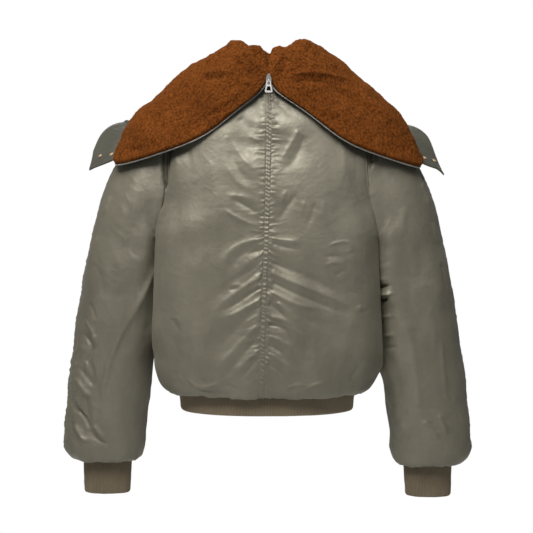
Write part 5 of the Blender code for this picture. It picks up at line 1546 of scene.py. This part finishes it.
def face_band(side):
    s = spaced(lambda s: band_face(s, np.full_like(s, 0.5)), CORNER, 9.0, 0.0022, n=300)
    n = fit(0.040 / 0.0016)
    W_ = np.linspace(0, 1, n)
    S, K = np.meshgrid(s, W_, indexing="ij")
    P = band_face(S, K)
    N = grid_normals(P, like=hood_normal(S, np.full_like(S, T_EDGE)))
    flip = flip_of(side)
    W = lie(P * flip)
    along, wide = lengths(P, 0), lengths(P, 1)
    outer = wide[:, -1:] - wide
    near_end = np.minimum(along, along[-1:] - along)
    d = 0.0007 * crumple(W, 0.020, 71) + 0.0006 * noise(W / 0.02 + 88)
    d = d * smooth(outer / 0.006) * smooth(near_end / 0.005)
    line = np.minimum(outer, near_end)
    d = d - 0.0006 * np.exp(-((line - 0.0028) / 0.0009) ** 2)
    d = d + roll_edge(outer, 0.0015, 0.0009) + roll_edge(near_end, 0.0015, 0.0009)
    uv = np.stack([wide, along], -1)
    ob, grid = wall("face_band_" + side, P * flip, N * flip, d, BAND_WALL - 0.0002, uv, k=4, move=lie)
    done(ob, "band", "hood_band_" + side, mat=MAT["band"])
    return ob, grid, N * flip, P


def lathe(profile, n=28):
    """solid turned from (radius, height) pairs"""
    verts, faces = [], []
    for r, z in profile:
        for k in range(n):
            a = 2 * pi * k / n
            verts.append((r * cos(a), r * sin(a), z))
    m = len(profile)
    for i in range(m - 1):
        for k in range(n):
            faces.append([i * n + k, i * n + (k + 1) % n, (i + 1) * n + (k + 1) % n, (i + 1) * n + k])
    faces.append([k for k in range(n)][::-1])
    faces.append([(m - 1) * n + k for k in range(n)])
    return np.array(verts), faces


STUD_PROFILE = [(0.0040, 0.0), (0.0042, 0.00035), (0.0041, 0.0008), (0.0037, 0.00112), (0.0031, 0.00118), (0.0027, 0.00098), (0.0024, 0.00072), (0.0020, 0.00072), (0.0018, 0.0010), (0.00165, 0.00155), (0.0012, 0.00178), (0.0005, 0.00186), (0.0001, 0.00188)]


def studs(side):
    flip = flip_of(side)
    for i, (sr, wr) in enumerate(STUDS, 1):
        e = 0.02
        p = band_face(sr, wr)
        n = unit(np.cross(band_face(sr + e, wr) - band_face(sr - e, wr), band_face(sr, wr + e) - band_face(sr, wr - e)))
        n = n if n @ hood_normal(sr, T_EDGE) > 0 else -n
        verts, faces = lathe(STUD_PROFILE)
        z = Vector(n * flip)
        m = z.to_track_quat("Z", "Y").to_matrix()
        centre = lie((p + n * 0.0004) * flip)
        verts = verts * np.array([1.0, 1.0, 1.05]) @ np.array(m).T + centre
        ob = mesh_object("snap_%s_%d" % (side, i), verts, faces)
        ob.data.set_sharp_from_angle(angle=radians(40))
        done(ob, "brass", "hood_stud_%s_%d" % (side, i), mat=MAT["brass"])


# ------------------------------------------------------------------ zips
TOOTH = np.array([  # along, outwards, thickness: three rings of a cast tooth with rounded shoulders
    (-0.50, 0.0, -0.5), (0.50, 0.0, -0.5), (0.50, 1.0, -0.5), (-0.50, 1.0, -0.5),
    (-0.50, 0.0, 0.22), (0.50, 0.0, 0.22), (0.50, 1.0, 0.22), (-0.50, 1.0, 0.22),
    (-0.30, 0.12, 0.5), (0.30, 0.12, 0.5), (0.30, 0.86, 0.5), (-0.30, 0.86, 0.5)])
TOOTH_FACES = [[0, 3, 2, 1], [8, 9, 10, 11]] + [[a + i, a + (i + 1) % 4, a + 4 + (i + 1) % 4, a + 4 + i] for a in (0, 4) for i in range(4)]


def teeth(name, path, along, out, nor, pitch, long, wide, thick, shift, nodes, start=0.0, stop=0.0, slot="metal"):
    """row of teeth on a path: each stands from the path outwards"""
    at = np.concatenate([[0], np.cumsum(np.linalg.norm(np.diff(path, axis=0), axis=1))])
    pos = np.arange(start + pitch * (0.5 + shift), at[-1] - stop, pitch)
    pick = lambda a: np.stack([np.interp(pos, at, a[:, c]) for c in range(3)], 1)
    p, u, o, n = pick(path), unit(pick(along)), unit(pick(out)), unit(pick(nor))
    t = TOOTH
    verts = (p[:, None] + u[:, None] * t[None, :, :1] * long + o[:, None] * t[None, :, 1:2] * wide + n[:, None] * t[None, :, 2:] * thick)
    faces = [[i * 12 + c for c in f] for i in range(len(pos)) for f in TOOTH_FACES]
    ob = mesh_object(name, verts.reshape(-1, 3), faces)
    ob.data.set_sharp_from_angle(angle=radians(35))
    return done(ob, slot, *nodes, mat=MAT["teeth"])


def zip_line(n=420):
    """zip edge of the hood half: base points, and directions along, out and square to the cloth"""
    s = np.interp(np.linspace(0, 1, n), [0, 1], [0, CORNER])
    edge = hood(s, np.full_like(s, T_EDGE))
    N = hood_normal(s, np.full_like(s, T_EDGE))
    along = unit(np.gradient(edge, axis=0))
    out = unit(np.cross(along, N))
    lead = edge - hood(s, np.full_like(s, T_EDGE - 0.1))
    out = np.where(np.sum(out * lead, -1, keepdims=True) > 0, out, -out)
    base = edge - N * (PILE - 0.0006)
    return base, along, out, N


def hood_zip_parts(side):
    base, along, out, N = zip_line()
    flip = flip_of(side)
    keep = int(len(base) * 0.985)
    base, along, out, N = base[:keep], along[:keep], out[:keep], N[:keep]
    rows = fit(keep / 3) 
    pick = np.round(np.linspace(0, keep - 1, rows)).astype(int)
    w = np.array([-0.0085, -0.0060, -0.0030, 0.0010, GAP + TAPE_W + 0.0012])
    P = base[pick][:, None] + out[pick][:, None] * w[None, :, None]
    P[..., 0] = np.maximum(P[..., 0], GAP / 2)
    Nn = np.repeat(N[pick][:, None], len(w), 1)
    ob, grid = wall("hood_zip_tape_" + side, P * flip, Nn * flip, np.zeros(P.shape[:2]), TAPE_WALL, np.stack([lengths(P, 1), lengths(P, 0)], -1), k=4, move=lie)
    done(ob, "tape", "hood_tape_" + side, mat=MAT["tape"])
    b0 = GAP + TAPE_W + 0.0003
    line = base + out * b0 - N * (TAPE_WALL / 2)
    line[:, 0] = np.maximum(line[:, 0], GAP)
    line, al, ou, no = lie(line * flip), along * flip, out * flip, N * flip
    teeth("hood_zip_teeth_" + side, line, al, ou, no, 0.00230, 0.00135, TEETH_W * 0.74, TEETH_T * 0.8, 0.0 if side == "left" else 0.5, ["hood_teeth_" + side], start=0.004, stop=0.0005)
    return ob, P


def front_zip_parts():
    v = np.array([18, 17.3, 16.5, 15.5, 14.5, 13.5, 12.5, 11.5, 10.5, 9, 7.5, 6, 5, 4.3, 2.0, 0.0])
    path = torso(v, 180.0)[:, 1:]
    path = np.concatenate([path, rib(np.array([1.0, 2.0, 3.0]), 180.0)[:, 1:]])
    out = across(path)
    behind = path[:len(v) - 2] - out[:len(v) - 2] * (WALL + 0.0014)
    low = rib(np.array([0.6, 1.0, 2.0, 3.0]), 180.0)[:, 1:] - np.array([RIB_WALL + 0.0013, 0])
    low[0, 1] = RIB[0, 0] - 0.0010
    behind = np.concatenate([behind, low])

    def fine(line, n):
        at = np.concatenate([[0], np.cumsum(np.linalg.norm(np.diff(line, axis=0), axis=1))])
        u = np.linspace(0, at[-1], n)
        return np.stack([pchip(at, line[:, 0], u), pchip(at, line[:, 1], u)], 1)

    made = {}
    for side in ("left", "right"):
        sgn = -1.0 if side == "left" else 1.0
        flip = flip_of(side)
        line = fine(behind, 161)
        sq = across(line)
        x = np.array([0.0020, 0.0060, 0.0090, 0.0120, 0.0150])
        P = np.stack([np.column_stack([np.full(len(line), e), line]) for e in x], 1)
        N = np.repeat(np.column_stack([np.zeros(len(line)), sq])[:, None], len(x), 1)
        ob, grid = wall("front_zip_tape_" + side, P * flip, N * flip, np.zeros(P.shape[:2]), TAPE_WALL, np.stack([lengths(P, 1), lengths(P, 0)], -1), k=4)
        done(ob, "tape", "front_tape_" + side, mat=MAT["tape"])
        made[side] = (ob, P)
        line = fine(path, 300)
        sq = across(line)
        along2 = unit(np.gradient(line, axis=0))
        mid = np.column_stack([np.full(len(line), -0.0008 * sgn), line - sq * 0.0019])
        along = np.column_stack([np.zeros(len(line)), along2])
        outw = np.column_stack([np.full(len(line), sgn), np.zeros((len(line), 2))])
        nor = np.column_stack([np.zeros(len(line)), sq])
        teeth("front_zip_teeth_" + side, mid, along, outw, nor, 0.00250, 0.00118, 0.0038, 0.0026, 0.0 if side == "left" else 0.5, ["front_teeth_" + side], start=0.001, stop=0.001)
    return made


# ------------------------------------------------------------------ all the pieces
def area_of(P, closed=False):
    """area, widest girth and greatest length of a grid"""
    Q = np.concatenate([P, P[:, :1]], 1) if closed else P
    a, b = Q[1:, 1:] - Q[:-1, :-1], Q[1:, :-1] - Q[:-1, 1:]
    return 0.5 * np.linalg.norm(np.cross(a, b), axis=-1).sum(), lengths(Q, 1)[:, -1].max(), lengths(Q, 0)[-1].max()


def cut(ob, P, ease=1.05, closed=False):
    """declares a piece of cloth with the size it was cut to, ease more than it now covers"""
    area, wide, long = area_of(P, closed)
    area *= ease
    w, l = round(wide * ease, 3), round(long * ease, 3)
    area = round(min(area, 0.999 * w * l) - 5e-6, 5)
    print("CUT", ob.name, w, l, round(area, 4))


def line_at(grid, N, dist_axis_grid, dist, rows=None):
    """points and normals of a grid at a distance from its first column"""
    pts, nor = [], []
    for i in (range(grid.shape[0]) if rows is None else rows):
        a = dist_axis_grid[i]
        pts.append([np.interp(dist, a, grid[i, :, c]) for c in range(3)])
        nor.append([np.interp(dist, a, N[i, :, c]) for c in range(3)])
    return np.array(pts), unit(np.array(nor))


STITCH = []
hood_fine = hood_grid(0.00162)
hood_plain = hood_grid(0.0060)
for side in ("left", "right"):
    ob, grid, N, P = panel_piece(side, False)
    cut(ob, P, 1.08)
    out = lengths(P, 1)
    up = lengths(P, 0)
    rows = np.nonzero(up[:, 0] > 0.004)[0]
    STITCH.append(line_at(grid, N, out, 0.0045, rows))
    cols = np.nonzero(out[3] > 0.006)[0]
    i = int(np.argmin(np.abs(up[:, 0] - 0.0165)))
    STITCH.append((grid[i, cols], N[i, cols]))
    ob, grid, N, P = panel_piece(side, True)
    cut(ob, P, 1.06)
    out, up = lengths(P, 1), lengths(P, 0)
    rows = np.nonzero(up[:, 0] > 0.004)[0]
    STITCH.append(line_at(grid, N, out, 0.0060, rows))
    cols = np.nonzero(out[3] > 0.012)[0]
    i = int(np.argmin(np.abs(up[:, 20] - 0.0165)))
    STITCH.append((grid[i, cols], N[i, cols]))
    for half in ("back", "front"):
        ob, grid, N, P = sleeve_half(side, half)
        cut(ob, P, 1.06)
    ob, grid, N, P = cuff_knit(side)
    cut(ob, P, 1.0, closed=True)
    ob, grid, N, P = hood_pile(side, hood_fine)
    cut(ob, P, 1.0)
    ob, grid, N, P = hood_outer(side, hood_plain)
    cut(ob, P, 1.0)
    ob, grid, N, P = face_band(side)
    cut(ob, P, 1.0)
    studs(side)
    wide = lengths(P, 1)
    last = wide[:, -1:] - 0.0028
    pts = np.array([[np.interp(last[i, 0], wide[i], grid[i, :, c]) for c in range(3)] for i in range(len(wide))])
    nor = unit(np.array([[np.interp(last[i, 0], wide[i], N[i, :, c]) for c in range(3)] for i in range(len(wide))]))
    band_stitch = [(pts, nor)]
    k = int(np.argmin(np.abs(lengths(P, 0)[:, 12] - 0.0028)))
    band_stitch.append((grid[k, 2:-2], N[k, 2:-2]))
    threads("band_stitch_" + side, band_stitch, mat=MAT["thread"], slot="band")
    ob, P = hood_zip_parts(side)
    cut(ob, P, 1.0)
threads("shell_stitch", STITCH, mat=MAT["thread"], slot="nylon")
ob, grid, N, P = hem_knit()
cut(ob, P, 1.0)
for side, (ob, P) in front_zip_parts().items():
    cut(ob, P, 1.0)

# the zips' hard pieces stay as they are, with their edges broken and a cast finish
for name, mat, width in (("hood_slider", "slider", 0.00035), ("front_slider", "slider", 0.00035), ("hood_pull", "pull", 0.00022), ("front_pull", "pull", 0.00022)):
    ob = frame["nodes"][name]
    ob.data.materials.clear()
    ob.data.materials.append(MAT[mat])
    mod = ob.modifiers.new("edges", "BEVEL")
    mod.width, mod.segments, mod.limit_method, mod.angle_limit = width, 3, "ANGLE", radians(30)
    mod.harden_normals = False

# ------------------------------------------------------------------ stage, light and camera
scene = bpy.context.scene
scene.view_settings.view_transform = "Standard"
scene.view_settings.look = "None"
scene.view_settings.exposure = 0.0
scene.view_settings.gamma = 1.0

world = bpy.data.worlds.new("studio")
scene.world = world
world.use_nodes = True
wt = world.node_tree
wt.nodes.clear()
rays = wt.nodes.new("ShaderNodeLightPath")
seen, light = wt.nodes.new("ShaderNodeBackground"), wt.nodes.new("ShaderNodeBackground")
seen.inputs["Color"].default_value = (1, 1, 1, 1)
seen.inputs["Strength"].default_value = 1.0
light.inputs["Color"].default_value = (1.0, 1.0, 1.0, 1)
light.inputs["Strength"].default_value = 0.11
mix = wt.nodes.new("ShaderNodeMixShader")
end = wt.nodes.new("ShaderNodeOutputWorld")
wt.links.new(rays.outputs["Is Camera Ray"], mix.inputs[0])
wt.links.new(light.outputs[0], mix.inputs[1])
wt.links.new(seen.outputs[0], mix.inputs[2])
wt.links.new(mix.outputs[0], end.inputs["Surface"])

floor_mat = Shade("studio_floor", (0.80, 0.80, 0.79), 0.75)
floor_mat.link(floor_mat.bump(floor_mat.noise(floor_mat.coordinates(), 30.0, 3.0), 0.0006, 0.2), "Normal")
bm = bmesh.new()
bmesh.ops.create_circle(bm, cap_ends=True, radius=2.2, segments=96)
mesh = bpy.data.meshes.new("studio_floor")
bm.to_mesh(mesh)
bm.free()
floor = bpy.data.objects.new("studio_floor", mesh)
floor.location = (0, 0, -1.5)
mesh.materials.append(floor_mat.mat)
scene.collection.objects.link(floor)


def softbox(name, at, aim, size, power, colour=(1, 1, 1)):
    data = bpy.data.lights.new(name, "AREA")
    data.shape = "RECTANGLE"
    data.size, data.size_y = size
    data.energy = power
    data.color = colour
    ob = bpy.data.objects.new(name, data)
    ob.location = at
    ob.rotation_euler = (Vector(aim) - Vector(at)).to_track_quat("-Z", "Y").to_euler()
    scene.collection.objects.link(ob)
    return ob


softbox("key", (-0.58, -1.74, 1.84), (0, 0, -0.10), (1.5, 1.5), 112, (1.0, 0.955, 0.915))
softbox("fill", (2.2, -2.2, 0.5), (0, 0, -0.4), (1.6, 1.6), 4)
softbox("front_key", (-0.3, 2.5, 1.1), (0, 0, -0.4), (1.6, 1.6), 42)

cam = bpy.data.cameras.new("camera")
cam.sensor_width = 36.0
cam.sensor_fit = "HORIZONTAL"
cam.lens = 1315.8 / 533 * 36.0
cam.shift_x = -0.4 / 533
camera = bpy.data.objects.new("camera", cam)
pitch = radians(2.5)
aim = Vector((0, 0, -0.354))
camera.location = aim + Vector((0, -cos(pitch), sin(pitch))) * 2.5
camera.rotation_euler = (aim - camera.location).to_track_quat("-Z", "Y").to_euler()
scene.collection.objects.link(camera)
scene.camera = camera

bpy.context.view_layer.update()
total = sum(len(ob.data.polygons) for ob in PIECES.values())
print("FACES", total, {k: len(o.data.polygons) for k, o in PIECES.items()})
